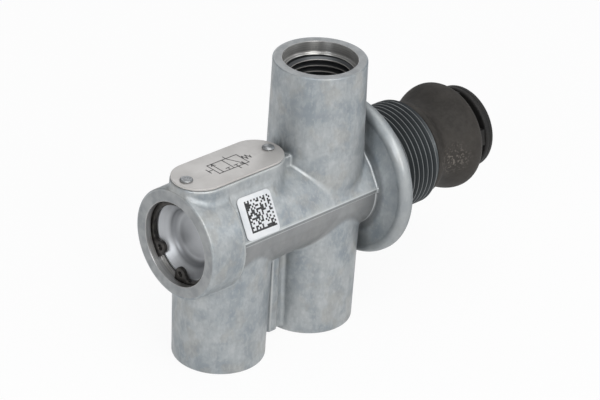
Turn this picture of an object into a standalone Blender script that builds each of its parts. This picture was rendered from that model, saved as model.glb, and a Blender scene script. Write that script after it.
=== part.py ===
"""Push-button operated pneumatic directional valve, 3 ports and 2 positions, for panel mounting.

The valve stands on the faces of its two lower ports. The spool axis runs along X, from the
plugged end at -X to the push button at +X, and the third port points up.
"""
import math

import bmesh
import bpy
from mathutils import Matrix, Vector

# The model is built in millimetres and brought to metres at the end
MM = 0.001

# Clearance that parts keep from each other where they seat, slide or pass
FIT = 0.3
SEGMENTS = 36

# Ports: three threaded bosses, two below and one above the spool axis
AXIS_HEIGHT = 33.7
PORT_TOP_RISE = 33.9
PORT_RIM_R = 11.0
PORT_DRAFT = 0.5
PORT_LEFT_X = 14.6
PORT_PITCH = 28.1
SOCKET_THREAD_R = 7.2
SOCKET_MOUTH_R = 8.75
SOCKET_MOUTH_DEPTH = 3.0
SOCKET_DEPTH = 16.5
PORT_ROOT_R = PORT_RIM_R + PORT_DRAFT
PORT_RIGHT_X = PORT_LEFT_X + PORT_PITCH

# Plugged end of the barrel
BARREL_R = 13.25
BARREL_DRAFT = 0.25
BARREL_LENGTH = 9.6
BARREL_WALL = 3.1
FRONT_BORE_DEPTH = 10.0
RING_GROOVE_X = 1.5
RING_GROOVE_WIDTH = 1.6
RING_GROOVE_DEPTH = 0.8
RING_THICK = 1.0
FRONT_BORE_R = BARREL_R - BARREL_WALL

# Middle housing: flats that lean in above a moulded ledge, and a round belly below it
HOUSING_FLAT = 11.6
HOUSING_LEAN = math.radians(30)
HOUSING_LEDGE_Z = 1.9
HOUSING_LEDGE_STEP = 0.45
HOUSING_LEDGE_Y = (HOUSING_FLAT - HOUSING_LEDGE_Z * math.sin(HOUSING_LEAN)) / math.cos(HOUSING_LEAN)
WEB_HALF = 2.9
RIB_HALF = 3.6
RIB_WIDTH = 2.6

# Raised pad for the plate
PAD_RISE = 3.3
PAD_R = 6.65
PAD_START = 0.05
PAD_GAP = 0.6
PAD_TOP = HOUSING_FLAT + PAD_RISE
PAD_END = PORT_RIGHT_X - PORT_ROOT_R - PAD_GAP

# Panel flange and the neck behind it
PORT_TO_FLANGE = 10.5
FLANGE_THICK = 2.8
FLANGE_R = 20.0
FLANGE_ROUND = 2.0
NECK_LENGTH = 16.85
NECK_R = 13.0
NECK_WALL = 3.5
NECK_UNDERCUT = 1.1
NECK_UNDERCUT_WIDTH = 1.8
NECK_THREAD_PITCH = 1.5
NECK_THREAD_DEPTH = 0.9
SEAT_RELIEF = 0.3
FLANGE_X = PORT_RIGHT_X + PORT_TO_FLANGE
FLANGE_END = FLANGE_X + FLANGE_THICK
NECK_END = FLANGE_END + NECK_LENGTH
REAR_BORE_R = NECK_R - NECK_WALL

# Spool, its bore and the ways to the ports
SPOOL_BORE_R = 6.0
STROKE = 6.0
EXHAUST_HOLE_R = 2.75
CONTROL_HOLE_R = 1.75
OUTLET_OFFSET = 4.2
SUPPLY_OFFSET = 3.1
SEAL_MINOR_R = 0.65
STEM_R = 4.0
SPIGOT_R = 2.3
SPIGOT_DEPTH = 5.0
WAIST_R = 3.4
LAND_HALF = 1.9
OUTLET_HOLE_X = PORT_RIGHT_X - OUTLET_OFFSET
SUPPLY_HOLE_X = PORT_RIGHT_X + SUPPLY_OFFSET
SEAL_HALF = SEAL_MINOR_R + FIT
LAND_R = SPOOL_BORE_R - FIT
MIDDLE_SEAL_X = (OUTLET_HOLE_X + SUPPLY_HOLE_X) / 2 - 0.65
REAR_SEAL_X = SUPPLY_HOLE_X + CONTROL_HOLE_R + STROKE + 1.5 * SEAL_HALF
SPOOL_END = REAR_SEAL_X + LAND_HALF

# End plug and the spring that stands in its pocket
PLUG_FLOOR = 1.5
SPRING_POCKET_DEPTH = 2.0
SPRING_POCKET_R = 5.6
SPRING_WIRE_R = 0.45
PLUG_START = RING_GROOVE_X + RING_GROOVE_WIDTH
PLUG_END = FRONT_BORE_DEPTH - FIT
PLUG_R = FRONT_BORE_R - FIT
PLUG_SEAL_X = PLUG_END - 1.5
SPRING_POCKET_X = PLUG_END - SPRING_POCKET_DEPTH

# The spool's nose stands one stroke off the plug, which stops the push
SPOOL_NOSE = 8.0
SPOOL_START = SPRING_POCKET_X + FIT + STROKE
SPOOL_SHOULDER = SPOOL_START + SPOOL_NOSE

# Guide bush of the stem, with its snap ring and the boot's groove behind it
BUSH_LENGTH = 9.5
BUSH_POCKET_DEPTH = 4.2
LIP_SEAL_WIDTH = 2.3
LIP_SEAL_LENGTH = 2.2
WASHER_THICK = 0.8
BOOT_BEAD = 0.8
BUSH_START = SPOOL_END + FIT
BUSH_END = BUSH_START + BUSH_LENGTH
BUSH_R = REAR_BORE_R - FIT
BUSH_POCKET_X = BUSH_END - BUSH_POCKET_DEPTH
BUSH_POCKET_R = STEM_R + 2 * FIT + LIP_SEAL_WIDTH - FIT
BUSH_SEAL_X = BUSH_START + 2.6
NECK_MOUTH_R = REAR_BORE_R + 1.2
BOOT_GROOVE_X = NECK_END - 2.65
BOOT_GROOVE_END = BOOT_GROOVE_X + BOOT_BEAD + 2 * FIT

# Push button and the boot that grips it
BUTTON_REACH = 21.15
BUTTON_R = 10.45
BUTTON_DISC = 2.8
HUB_LENGTH = 5.2
HUB_R = 8.4
HUB_NECK_R = 6.4
BOOT_WALL = 1.1
BOOT_WAIST_R = 10.7
BOOT_BULGE_R = 13.3
BOOT_LIP = 1.0
LENGTH = NECK_END + BUTTON_REACH
DISC_START = LENGTH - BUTTON_DISC
HUB_START = DISC_START - HUB_LENGTH
LIP_START = HUB_START + 1.3
LIP_END = LIP_START + BOOT_LIP
BOOT_START = NECK_END + FIT

# Plate, rivets and sticker
PLATE_INSET = 0.3
PLATE_THICK = 0.5
PLATE_LIFT = 0.1
RIVET_HOLE_R = 1.1
RIVET_DEPTH = 2.6
RIVET_INSET = 2.7
LABEL_WIDTH = 9.85
LABEL_HEIGHT = 10.0
LABEL_CORNER = 1.2
LABEL_THICK = 0.15
LABEL_FROM_BARREL = 6.55
LABEL_RISE = 5.15
LABEL_TURN = math.radians(1.5)
PLATE_START = PAD_START + PLATE_INSET / 2
PLATE_END = PAD_END - PLATE_INSET
RIVET_FRONT_X = PLATE_START + RIVET_INSET
RIVET_REAR_X = PLATE_END - RIVET_INSET


def at(x, y=0.0, z=0.0):
    """Turns a place counted from the plugged face and the spool axis into the part's frame."""
    return Vector((x - LENGTH / 2, y, AXIS_HEIGHT + z))


def material(name, colour, roughness, metallic):
    found = bpy.data.materials.new(name)
    found.use_nodes = True
    shader = found.node_tree.nodes["Principled BSDF"]
    shader.inputs["Base Color"].default_value = (*colour, 1.0)
    shader.inputs["Roughness"].default_value = roughness
    shader.inputs["Metallic"].default_value = metallic
    return found


def smooth_round_faces(mesh):
    mesh.shade_smooth()
    mesh.set_sharp_from_angle(angle=math.radians(32))


def add_object(name, bm, look=None, cutter=False):
    """Makes an object from a mesh modelled in millimetres."""
    bmesh.ops.recalc_face_normals(bm, faces=bm.faces)
    mesh = bpy.data.meshes.new(name)
    bm.to_mesh(mesh)
    bm.free()
    obj = bpy.data.objects.new(name, mesh)
    bpy.context.collection.objects.link(obj)
    if look:
        mesh.materials.append(look)
    smooth_round_faces(mesh)
    if cutter:
        obj.hide_render = True
        obj.display_type = "WIRE"
    return obj


def turned_mesh(profile, segments=SEGMENTS, closed=False):
    """Spins (along, radius) points about local Z. An open profile starts and ends on the axis."""
    bm = bmesh.new()
    points = [bm.verts.new((radius, 0.0, along)) for along, radius in profile]
    pairs = list(zip(points, points[1:]))
    if closed:
        pairs.append((points[-1], points[0]))
    edges = [bm.edges.new(pair) for pair in pairs]
    bmesh.ops.spin(bm, geom=points + edges, axis=(0, 0, 1), cent=(0, 0, 0),
                   steps=segments, angle=math.tau, use_merge=False)
    bmesh.ops.remove_doubles(bm, verts=bm.verts, dist=0.001)
    return bm


def turned(name, profile, look=None, segments=SEGMENTS, closed=False, cutter=False):
    """A turned piece on the spool axis, with its profile counted from the plugged face."""
    obj = add_object(name, turned_mesh(profile, segments, closed), look, cutter)
    obj.location = at(0.0)
    obj.rotation_euler = (0.0, math.radians(90), 0.0)
    return obj


def upright(name, profile, x, look=None, segments=SEGMENTS, cutter=False):
    """A turned piece on a vertical axis at x, with its profile counted up from the spool axis."""
    obj = add_object(name, turned_mesh(profile, segments), look, cutter)
    obj.location = at(x)
    return obj


def arc(centre_along, centre_radius, radius, start, end, steps):
    """Points of a rounded corner in a turned profile, with angles from +along to +radius."""
    points = []
    for step in range(steps + 1):
        angle = math.radians(start + (end - start) * step / steps)
        points.append((centre_along + radius * math.cos(angle), centre_radius + radius * math.sin(angle)))
    return points


def stadium(radius, start, end, steps=12):
    """Outline of a plate with round ends that lies along X."""
    points = []
    for centre, first in ((end - radius, -90), (start + radius, 90)):
        for step in range(steps + 1):
            angle = math.radians(first + 180 * step / steps)
            points.append((centre + radius * math.cos(angle), radius * math.sin(angle)))
    return points


def loft(name, levels):
    """Solid through flat outlines with equal numbers of points, each at its own height."""
    bm = bmesh.new()
    loops = [[bm.verts.new(at(x, y, height)) for x, y in outline] for outline, height in levels]
    bm.faces.new(list(reversed(loops[0])))
    bm.faces.new(loops[-1])
    for low, high in zip(loops, loops[1:]):
        for index in range(len(low)):
            after = (index + 1) % len(low)
            bm.faces.new((low[index], low[after], high[after], high[index]))
    return add_object(name, bm)


def slab(name, outline, low, high):
    """Prism with a flat outline in X and Y, between two heights above the spool axis."""
    return loft(name, [(outline, low), (outline, high)])


def beam(name, section, start, end):
    """Prism with a section in Y and Z that runs along the spool axis."""
    bm = bmesh.new()
    face = bm.faces.new([bm.verts.new(at(start, y, z)) for y, z in section])
    pushed = bmesh.ops.extrude_face_region(bm, geom=[face])["geom"]
    ends = [item for item in pushed if isinstance(item, bmesh.types.BMVert)]
    bmesh.ops.translate(bm, verts=ends, vec=(end - start, 0, 0))
    return add_object(name, bm)


def block(name, size, rise, turn, centre_x):
    """Rectangular block that stands off the spool axis by rise, turned about that axis."""
    bm = bmesh.new()
    bmesh.ops.create_cube(bm, size=1.0)
    bmesh.ops.scale(bm, vec=size, verts=bm.verts)
    bmesh.ops.translate(bm, vec=(0, 0, rise), verts=bm.verts)
    bmesh.ops.transform(bm, matrix=Matrix.Rotation(turn, 4, "X"), verts=bm.verts)
    obj = add_object(name, bm)
    obj.location = at(centre_x)
    return obj


def combine(target, others, operation):
    """Applies one Boolean between a solid and a group of others, and removes the group."""
    group = bpy.data.collections.new("operands")
    for other in others:
        group.objects.link(other)
    step = target.modifiers.new(operation.title(), "BOOLEAN")
    step.operation = operation
    step.solver = "EXACT"
    step.operand_type = "COLLECTION"
    step.collection = group
    bpy.context.view_layer.update()
    graph = bpy.context.evaluated_depsgraph_get()
    result = bpy.data.meshes.new_from_object(target.evaluated_get(graph))
    target.modifiers.clear()
    old = target.data
    target.data = result
    result.name = target.name
    bpy.data.meshes.remove(old)
    for other in others:
        bpy.data.objects.remove(other, do_unlink=True)
    bpy.data.collections.remove(group)


def finish_solid(obj, look):
    """Gives a solid from a Boolean its one material and smooth round faces with sharp edges."""
    obj.data.materials.clear()
    obj.data.materials.append(look)
    obj.data.polygons.foreach_set("material_index", [0] * len(obj.data.polygons))
    smooth_round_faces(obj.data)
    return obj


# Die-cast housing: outer forms
def housing_section():
    """Two leaning flats and a flat top above a moulded ledge, with a round belly below it."""
    belly = HOUSING_LEDGE_Y - HOUSING_LEDGE_STEP
    low = HOUSING_LEDGE_Z - HOUSING_LEDGE_STEP
    radius = math.hypot(belly, low)
    first = math.atan2(low, belly)
    half_top = HOUSING_FLAT * math.tan(math.radians(90) / 2 - HOUSING_LEAN / 2)
    points = [(HOUSING_LEDGE_Y, low), (HOUSING_LEDGE_Y, HOUSING_LEDGE_Z), (half_top, HOUSING_FLAT)]
    points += [(-y, z) for y, z in reversed(points)]
    steps = 16
    for step in range(steps + 1):
        angle = math.pi - first + (math.pi + 2 * first) * step / steps
        points.append((radius * math.cos(angle), radius * math.sin(angle)))
    return points


def front_barrel():
    chamfer = 0.4
    rear_r = BARREL_R + BARREL_DRAFT
    rear_round = 0.35
    return turned("front_barrel", [
        (0.0, 0.0),
        (0.0, BARREL_R - chamfer),
        (chamfer, BARREL_R),
        (BARREL_LENGTH - rear_round, rear_r),
        (BARREL_LENGTH - rear_round / 4, rear_r - rear_round / 4),
        (BARREL_LENGTH, rear_r - rear_round),
        (BARREL_LENGTH, 0.0),
    ])


def port_tower(name, x, side, rim):
    """Round port boss with the draft of the casting die and a rounded rim edge."""
    inside = -2.0 if side > 0 else 1.2
    rim_round = 0.3
    profile = [
        (inside, 0.0),
        (inside, PORT_ROOT_R),
        (side * rim * 0.12, PORT_ROOT_R),
        (side * (rim - rim_round), PORT_RIM_R),
        (side * (rim - rim_round * 0.3), PORT_RIM_R - rim_round * 0.3),
        (side * rim, PORT_RIM_R - rim_round),
        (side * rim, 0.0),
    ]
    return upright(name, profile, x)


def thread_rings(start, end, crest_r):
    """V-shaped grooves that stand for the neck's thread: each starts and ends on a crest."""
    points = []
    for ring in range(int((end - start) / NECK_THREAD_PITCH)):
        crest = start + ring * NECK_THREAD_PITCH
        points += [(crest, crest_r), (crest + NECK_THREAD_PITCH / 2, crest_r - NECK_THREAD_DEPTH)]
    points.append((crest + NECK_THREAD_PITCH, crest_r))
    return points


def flange_and_neck():
    """Panel flange with a rounded front edge, and the threaded neck that the panel nut screws on."""
    flat = FLANGE_R - FLANGE_ROUND
    edge = 0.2
    chamfer = 0.8
    undercut_r = NECK_R - NECK_UNDERCUT
    undercut_end = FLANGE_END + NECK_UNDERCUT_WIDTH
    profile = [(FLANGE_X - 1.0, 0.0), (FLANGE_X - 1.0, REAR_BORE_R - 0.5), (FLANGE_X, REAR_BORE_R + 0.5),
               (FLANGE_X, flat)]
    profile += arc(FLANGE_X + FLANGE_ROUND, flat, FLANGE_ROUND, 162, 90, 4)
    profile += [
        (FLANGE_END - edge, FLANGE_R),
        (FLANGE_END, FLANGE_R - edge),
        (FLANGE_END, NECK_R + SEAT_RELIEF),
        (FLANGE_END - SEAT_RELIEF, NECK_R),
        (FLANGE_END - SEAT_RELIEF, undercut_r),
        (undercut_end - NECK_UNDERCUT / 2, undercut_r),
    ]
    profile += thread_rings(undercut_end + NECK_UNDERCUT / 2, NECK_END - chamfer, NECK_R)
    profile += [
        (NECK_END - chamfer, NECK_R),
        (NECK_END, NECK_R - chamfer),
        (NECK_END, 0.0),
    ]
    return turned("flange_and_neck", profile, segments=44)


def web_between_ports():
    """Thin wall that ties the two lower ports, with a narrow rib on both of its sides."""
    flank = 0.4
    middle = (PORT_LEFT_X + PORT_RIGHT_X) / 2
    half_rib = RIB_WIDTH / 2
    into_port = 3.5
    left = PORT_LEFT_X + PORT_ROOT_R - into_port
    right = PORT_RIGHT_X - PORT_ROOT_R + into_port
    side = [(right, WEB_HALF), (middle + half_rib + flank, WEB_HALF), (middle + half_rib, RIB_HALF),
            (middle - half_rib, RIB_HALF), (middle - half_rib - flank, WEB_HALF), (left, WEB_HALF)]
    outline = side + [(x, -y) for x, y in reversed(side)]
    return slab("web", outline, -(AXIS_HEIGHT - 1.0), -SPOOL_BORE_R)


def plate_pad():
    """Raised seat of the plate, from the plugged face to the top port."""
    edge = 0.35
    wall = stadium(PAD_R, PAD_START, PAD_END)
    top = stadium(PAD_R - edge, PAD_START + edge, PAD_END - edge)
    return loft("pad", [(wall, HOUSING_FLAT - 3.6), (wall, PAD_TOP - edge), (top, PAD_TOP)])


def pad_bridge():
    """Low block that ties the pad to the top port."""
    half = PAD_R / 2
    start = PAD_END - 1.6
    end = PORT_RIGHT_X - PORT_ROOT_R + 4.8
    outline = [(start, -half), (end, -half), (end, half), (start, half)]
    return slab("bridge", outline, HOUSING_FLAT - 3.1, PAD_TOP - 1.2)


# Die-cast housing: bores
def front_bore():
    groove = FRONT_BORE_R + RING_GROOVE_DEPTH
    groove_end = RING_GROOVE_X + RING_GROOVE_WIDTH
    lead = 0.45
    return turned("front_bore", [
        (-1.0, 0.0),
        (-1.0, FRONT_BORE_R + 1.0 + lead),
        (lead, FRONT_BORE_R),
        (RING_GROOVE_X, FRONT_BORE_R),
        (RING_GROOVE_X, groove),
        (groove_end, groove),
        (groove_end, FRONT_BORE_R),
        (FRONT_BORE_DEPTH, FRONT_BORE_R),
        (FRONT_BORE_DEPTH, 0.0),
    ], cutter=True)


def spool_and_rear_bore():
    """Spool bore, the wider bore of the guide bush, its ring groove and the boot's groove."""
    groove = REAR_BORE_R + RING_GROOVE_DEPTH
    groove_end = BUSH_END + RING_GROOVE_WIDTH
    bead_r = NECK_MOUTH_R + BOOT_BEAD - 0.2
    return turned("spool_bore", [
        (FRONT_BORE_DEPTH - 1.0, 0.0),
        (FRONT_BORE_DEPTH - 1.0, SPOOL_BORE_R),
        (SPOOL_END, SPOOL_BORE_R),
        (SPOOL_END, REAR_BORE_R),
        (BUSH_END, REAR_BORE_R),
        (BUSH_END, groove),
        (groove_end, groove),
        (groove_end, REAR_BORE_R),
        (BOOT_GROOVE_X, REAR_BORE_R),
        (BOOT_GROOVE_X, bead_r),
        (BOOT_GROOVE_END, bead_r),
        (BOOT_GROOVE_END, NECK_MOUTH_R),
        (NECK_END + 1.0, NECK_MOUTH_R),
        (NECK_END + 1.0, 0.0),
    ], cutter=True)


def port_socket(name, x, side, rim):
    """Counterbore for the fitting's seal, tapping bore and its drill point."""
    step = SOCKET_MOUTH_R - SOCKET_THREAD_R
    cone_share = 0.6
    point = SOCKET_THREAD_R * math.tan(math.radians(31)) * cone_share
    floor = rim - SOCKET_DEPTH
    chamfer = 0.3
    profile = [
        (rim + 1.0, 0.0),
        (rim + 1.0, SOCKET_MOUTH_R + chamfer),
        (rim, SOCKET_MOUTH_R + chamfer),
        (rim - chamfer, SOCKET_MOUTH_R),
        (rim - SOCKET_MOUTH_DEPTH, SOCKET_MOUTH_R),
        (rim - SOCKET_MOUTH_DEPTH - step * cone_share, SOCKET_THREAD_R),
        (floor, SOCKET_THREAD_R),
        (floor - point, SOCKET_THREAD_R * (1 - cone_share)),
        (floor - point, 0.0),
    ]
    sided = [(side * along, radius) for along, radius in profile]
    return upright(name, sided, x, segments=28, cutter=True)


def passage(name, x, side, radius, rim):
    """Drilled way from a port socket into the spool bore."""
    reach = side * (rim - SOCKET_DEPTH + 1.5)
    profile = [(0.0, 0.0), (0.0, radius), (reach, radius), (reach, 0.0)]
    return upright(name, profile, x, segments=16, cutter=True)


def rivet_hole(name, x):
    floor = PAD_TOP - RIVET_DEPTH
    mouth = PAD_TOP + 1.0
    profile = [(floor, 0.0), (floor, RIVET_HOLE_R), (mouth, RIVET_HOLE_R), (mouth, 0.0)]
    return upright(name, profile, x, segments=12, cutter=True)


def valve_body(look):
    body = beam("valve_body", housing_section(), BARREL_LENGTH - 1.2, FLANGE_X + 0.4)
    forms = [
        front_barrel(),
        plate_pad(),
        pad_bridge(),
        port_tower("port_top", PORT_RIGHT_X, 1, PORT_TOP_RISE),
        port_tower("port_left", PORT_LEFT_X, -1, AXIS_HEIGHT),
        port_tower("port_right", PORT_RIGHT_X, -1, AXIS_HEIGHT),
        web_between_ports(),
        flange_and_neck(),
    ]
    cuts = [
        front_bore(),
        spool_and_rear_bore(),
        port_socket("socket_top", PORT_RIGHT_X, 1, PORT_TOP_RISE),
        port_socket("socket_left", PORT_LEFT_X, -1, AXIS_HEIGHT),
        port_socket("socket_right", PORT_RIGHT_X, -1, AXIS_HEIGHT),
        passage("outlet_way", OUTLET_HOLE_X, 1, CONTROL_HOLE_R, PORT_TOP_RISE),
        passage("exhaust_way", PORT_LEFT_X, -1, EXHAUST_HOLE_R, AXIS_HEIGHT),
        passage("supply_way", SUPPLY_HOLE_X, -1, CONTROL_HOLE_R, AXIS_HEIGHT),
        rivet_hole("rivet_hole_front", RIVET_FRONT_X),
        rivet_hole("rivet_hole_rear", RIVET_REAR_X),
    ]
    combine(body, forms, "UNION")
    combine(body, cuts, "DIFFERENCE")
    return finish_solid(body, look)


# Seals
def seal(name, x, groove_root, look, segments=20):
    """O-ring that lies with the usual clearance on its groove's root."""
    sides = 6
    section = arc(x, groove_root + FIT + SEAL_MINOR_R, SEAL_MINOR_R, 0, 360 * (sides - 1) / sides, sides - 1)
    return turned(name, section, look, segments, closed=True)


def seal_root(outer):
    """Root radius of a groove whose O-ring ends one clearance inside the outer radius."""
    return outer - FIT - 2 * SEAL_MINOR_R


# Plugged end
def end_plug(look):
    """Cup-shaped plug: dished face to the front, seal groove outside, spring pocket inside."""
    floor = SPRING_POCKET_X - PLUG_FLOOR
    dish = 2.2
    flat = PLUG_R / 2
    rim = PLUG_R - 0.5
    edge = 0.25
    root = seal_root(PLUG_R)
    profile = [(floor, 0.0), (floor, flat)]
    profile += arc(floor - dish, flat, dish, 0, 70, 4)[1:]
    profile += [
        (PLUG_START, rim),
        (PLUG_START, PLUG_R - edge),
        (PLUG_START + edge, PLUG_R),
        (PLUG_SEAL_X - SEAL_HALF, PLUG_R),
        (PLUG_SEAL_X - SEAL_HALF, root),
        (PLUG_SEAL_X + SEAL_HALF, root),
        (PLUG_SEAL_X + SEAL_HALF, PLUG_R),
        (PLUG_END, PLUG_R),
        (PLUG_END, SPRING_POCKET_R),
        (SPRING_POCKET_X, SPRING_POCKET_R),
        (SPRING_POCKET_X, 0.0),
    ]
    return turned("end_plug", profile, look, 28)


def bend(centre, radius, first, last, steps):
    """Points on an arc in the plane of a snap ring, from one angle to another."""
    points = []
    for step in range(steps + 1):
        angle = first + (last - first) * step / steps
        points.append((centre[0] + radius * math.cos(angle), centre[1] + radius * math.sin(angle)))
    return points


def snap_ring(name, bore, start, ear_r, gap_angle, look):
    """Internal snap ring: an open ring in the bore's groove, widest across from its gap, with
    two drilled ears that run into its inner edge with fillets."""
    outer = bore + RING_GROOVE_DEPTH - FIT
    inner = bore - 1.0
    offset = 0.7
    fillet = 1.6
    ear_reach = bore - ear_r - 0.15
    end = start + RING_THICK
    face_angle = math.radians(17.5)
    ear_angle = face_angle + math.asin(ear_r / ear_reach)
    ear = Vector((ear_reach * math.cos(ear_angle), ear_reach * math.sin(ear_angle)))
    middle = Vector((offset, 0.0))

    # The fillet's centre lies where it touches both the ear and the inner edge
    to_ear = ear - middle
    from_middle = inner - fillet
    span = to_ear.length
    lean = math.acos((from_middle ** 2 + span ** 2 - (ear_r + fillet) ** 2) / (2 * from_middle * span))
    meets = math.atan2(to_ear.y, to_ear.x) + lean
    hollow = middle + from_middle * Vector((math.cos(meets), math.sin(meets)))
    towards = hollow - ear
    turn_off = math.atan2(towards.y, towards.x) - math.tau
    side = bend(ear, ear_r, face_angle - math.pi / 2, turn_off, 8)
    side += bend(hollow, fillet, turn_off + math.pi, meets, 4)[1:]

    outline = bend((0.0, 0.0), outer, face_angle, math.tau - face_angle, 28)
    outline += [(y, -z) for y, z in side]
    outline += bend(middle, inner, -meets, meets - math.tau, 26)[1:-1]
    outline += list(reversed(side))
    turn = Matrix.Rotation(gap_angle, 2)
    section = [tuple(turn @ Vector(point)) for point in outline]
    body = beam(name, section, start, end)
    hole_r = ear_r * 0.42
    hole_profile = [(start - 1.0, 0.0), (start - 1.0, hole_r), (end + 1.0, hole_r), (end + 1.0, 0.0)]
    holes = []
    for mirrored in (-1, 1):
        y, z = turn @ Vector((ear.x, mirrored * ear.y))
        hole = turned(name + "_hole", hole_profile, segments=12, cutter=True)
        hole.location = at(0.0, y, z)
        holes.append(hole)
    combine(body, holes, "DIFFERENCE")
    return finish_solid(body, look)


def return_spring(look):
    """Compression spring with closed ends, swept along a helix."""
    wire = SPRING_WIRE_R
    mean = (SPRING_POCKET_R + WAIST_R) / 2 - 0.2
    start = SPRING_POCKET_X + FIT + wire
    end = SPOOL_SHOULDER - FIT - wire
    closed_turns = 0.75
    open_turns = 5.5
    pitch_closed = 2 * wire + 0.12
    middle = end - start - 2 * closed_turns * pitch_closed
    per_turn = 12
    total = closed_turns * 2 + open_turns
    count = int(round(total * per_turn))
    sides = 5
    bm = bmesh.new()
    rings = []
    for index in range(count + 1):
        turn = total * index / count
        if turn < closed_turns:
            along = start + pitch_closed * turn
        elif turn > closed_turns + open_turns:
            along = end - pitch_closed * (total - turn)
        else:
            along = start + closed_turns * pitch_closed + middle * (turn - closed_turns) / open_turns
        angle = math.tau * turn
        out = Vector((math.cos(angle), math.sin(angle), 0.0))
        centre = out * mean + Vector((0.0, 0.0, along))
        loop = []
        for side in range(sides):
            around = math.tau * side / sides
            point = centre + out * (wire * math.cos(around)) + Vector((0, 0, wire * math.sin(around)))
            loop.append(bm.verts.new(point))
        rings.append(loop)
    for first, second in zip(rings, rings[1:]):
        for side in range(sides):
            after = (side + 1) % sides
            bm.faces.new((first[side], first[after], second[after], second[side]))
    bm.faces.new(rings[0])
    bm.faces.new(list(reversed(rings[-1])))
    spring = add_object("return_spring", bm, look)
    spring.location = at(0.0)
    spring.rotation_euler = (0.0, math.radians(90), 0.0)
    return spring


# Moving group: spool, stem, button
def land(centre, half):
    """Raised land of the spool with an O-ring groove in its middle."""
    root = seal_root(LAND_R)
    return [(centre - half, WAIST_R), (centre - half, LAND_R), (centre - SEAL_HALF, LAND_R),
            (centre - SEAL_HALF, root), (centre + SEAL_HALF, root), (centre + SEAL_HALF, LAND_R),
            (centre + half, LAND_R)]


def spool(look):
    """Spool with a slotted front land that lets air by, and two sealed lands."""
    front_land = 3.2
    nose_r = WAIST_R - 0.2
    lead = 0.5
    socket_r = SPIGOT_R + FIT
    profile = [
        (SPOOL_START, 0.0),
        (SPOOL_START, nose_r - lead),
        (SPOOL_START + lead, nose_r),
        (SPOOL_SHOULDER, nose_r),
        (SPOOL_SHOULDER, LAND_R),
        (SPOOL_SHOULDER + front_land, LAND_R),
        (SPOOL_SHOULDER + front_land, WAIST_R),
    ]
    profile += land(MIDDLE_SEAL_X, LAND_HALF)
    profile += [(MIDDLE_SEAL_X + LAND_HALF, WAIST_R)]
    profile += land(REAR_SEAL_X, LAND_HALF)
    profile += [
        (SPOOL_END, socket_r),
        (SPOOL_END - SPIGOT_DEPTH, socket_r),
        (SPOOL_END - SPIGOT_DEPTH, 0.0),
    ]
    body = turned("spool", profile, look, 24)
    size = (front_land + 1.8, LAND_R * 0.42, 2.6)
    rise = WAIST_R + 2.2
    slots = [block("spool_slot", size, rise, math.radians(45 + 90 * turn), SPOOL_SHOULDER + front_land / 2)
             for turn in range(4)]
    combine(body, slots, "DIFFERENCE")
    return finish_solid(body, look)


def guide_bush(look):
    """Bush that guides the stem, with a seal groove outside and a seal pocket behind."""
    bore = STEM_R + FIT
    root = seal_root(BUSH_R)
    return turned("guide_bush", [
        (BUSH_START, bore),
        (BUSH_START, BUSH_R),
        (BUSH_SEAL_X - SEAL_HALF, BUSH_R),
        (BUSH_SEAL_X - SEAL_HALF, root),
        (BUSH_SEAL_X + SEAL_HALF, root),
        (BUSH_SEAL_X + SEAL_HALF, BUSH_R),
        (BUSH_END, BUSH_R),
        (BUSH_END, BUSH_POCKET_R),
        (BUSH_POCKET_X, BUSH_POCKET_R),
        (BUSH_POCKET_X, bore),
    ], look, 24, closed=True)


def stem_seal(look):
    """Lip seal with a V-shaped front that wipes the stem."""
    inner = STEM_R + FIT
    outer = BUSH_POCKET_R - FIT
    start = BUSH_POCKET_X + FIT
    lip = 0.9
    return turned("stem_seal", [
        (start, inner),
        (start + lip, (inner + outer) / 2),
        (start, outer),
        (start + LIP_SEAL_LENGTH, outer),
        (start + LIP_SEAL_LENGTH, inner),
    ], look, 28, closed=True)


def seal_washer(look):
    inner = STEM_R + FIT
    outer = BUSH_POCKET_R - FIT
    start = BUSH_POCKET_X + 2 * FIT + LIP_SEAL_LENGTH
    end = start + WASHER_THICK
    return turned("seal_washer", [(start, inner), (start, outer), (end, outer), (end, inner)],
                  look, 28, closed=True)


# The stem's far end sits in a blind hole of the button
BUTTON_SOCKET_R = STEM_R - 0.7


def plunger(look):
    """Stem with a spigot in the spool and a turned-down end in the button."""
    tip_r = BUTTON_SOCKET_R - FIT
    end = DISC_START - 0.6
    chamfer = 0.4
    spigot = SPOOL_END - SPIGOT_DEPTH + FIT
    return turned("plunger", [
        (spigot, 0.0),
        (spigot, SPIGOT_R),
        (SPOOL_END + FIT, SPIGOT_R),
        (SPOOL_END + FIT, STEM_R),
        (HUB_START - FIT, STEM_R),
        (HUB_START - FIT, tip_r),
        (end - chamfer, tip_r),
        (end, tip_r - chamfer),
        (end, 0.0),
    ], look, 24)


def push_button(look):
    """Mushroom button: crowned disc, hub with a groove for the boot, four webs under the disc."""
    groove = LIP_START - FIT
    lip = LIP_END + FIT
    flare = HUB_NECK_R + 0.8
    body = turned("push_button", [
        (DISC_START - FIT, 0.0),
        (DISC_START - FIT, BUTTON_SOCKET_R),
        (HUB_START, BUTTON_SOCKET_R),
        (HUB_START, HUB_NECK_R),
        (groove - 0.4, flare),
        (groove, flare),
        (groove, HUB_NECK_R),
        (lip, HUB_NECK_R),
        (lip, HUB_R),
        (DISC_START, HUB_R),
        (DISC_START, BUTTON_R - 0.5),
        (DISC_START + 0.5, BUTTON_R),
        (LENGTH - 1.3, BUTTON_R),
        (LENGTH - 0.5, BUTTON_R - 0.5),
        (LENGTH - 0.1, BUTTON_R - 1.5),
        (LENGTH, BUTTON_R - 3.0),
        (LENGTH, 0.0),
    ], look, 32)
    sink = 0.4
    depth = DISC_START - lip - sink
    size = (depth + sink, 4.0, 2.6)
    centre = DISC_START + (sink - depth) / 2
    webs = [block("button_web", size, BUTTON_R - 1.9, math.radians(90 * index - 9.5), centre)
            for index in range(4)]
    combine(body, webs, "UNION")
    return finish_solid(body, look)


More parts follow.
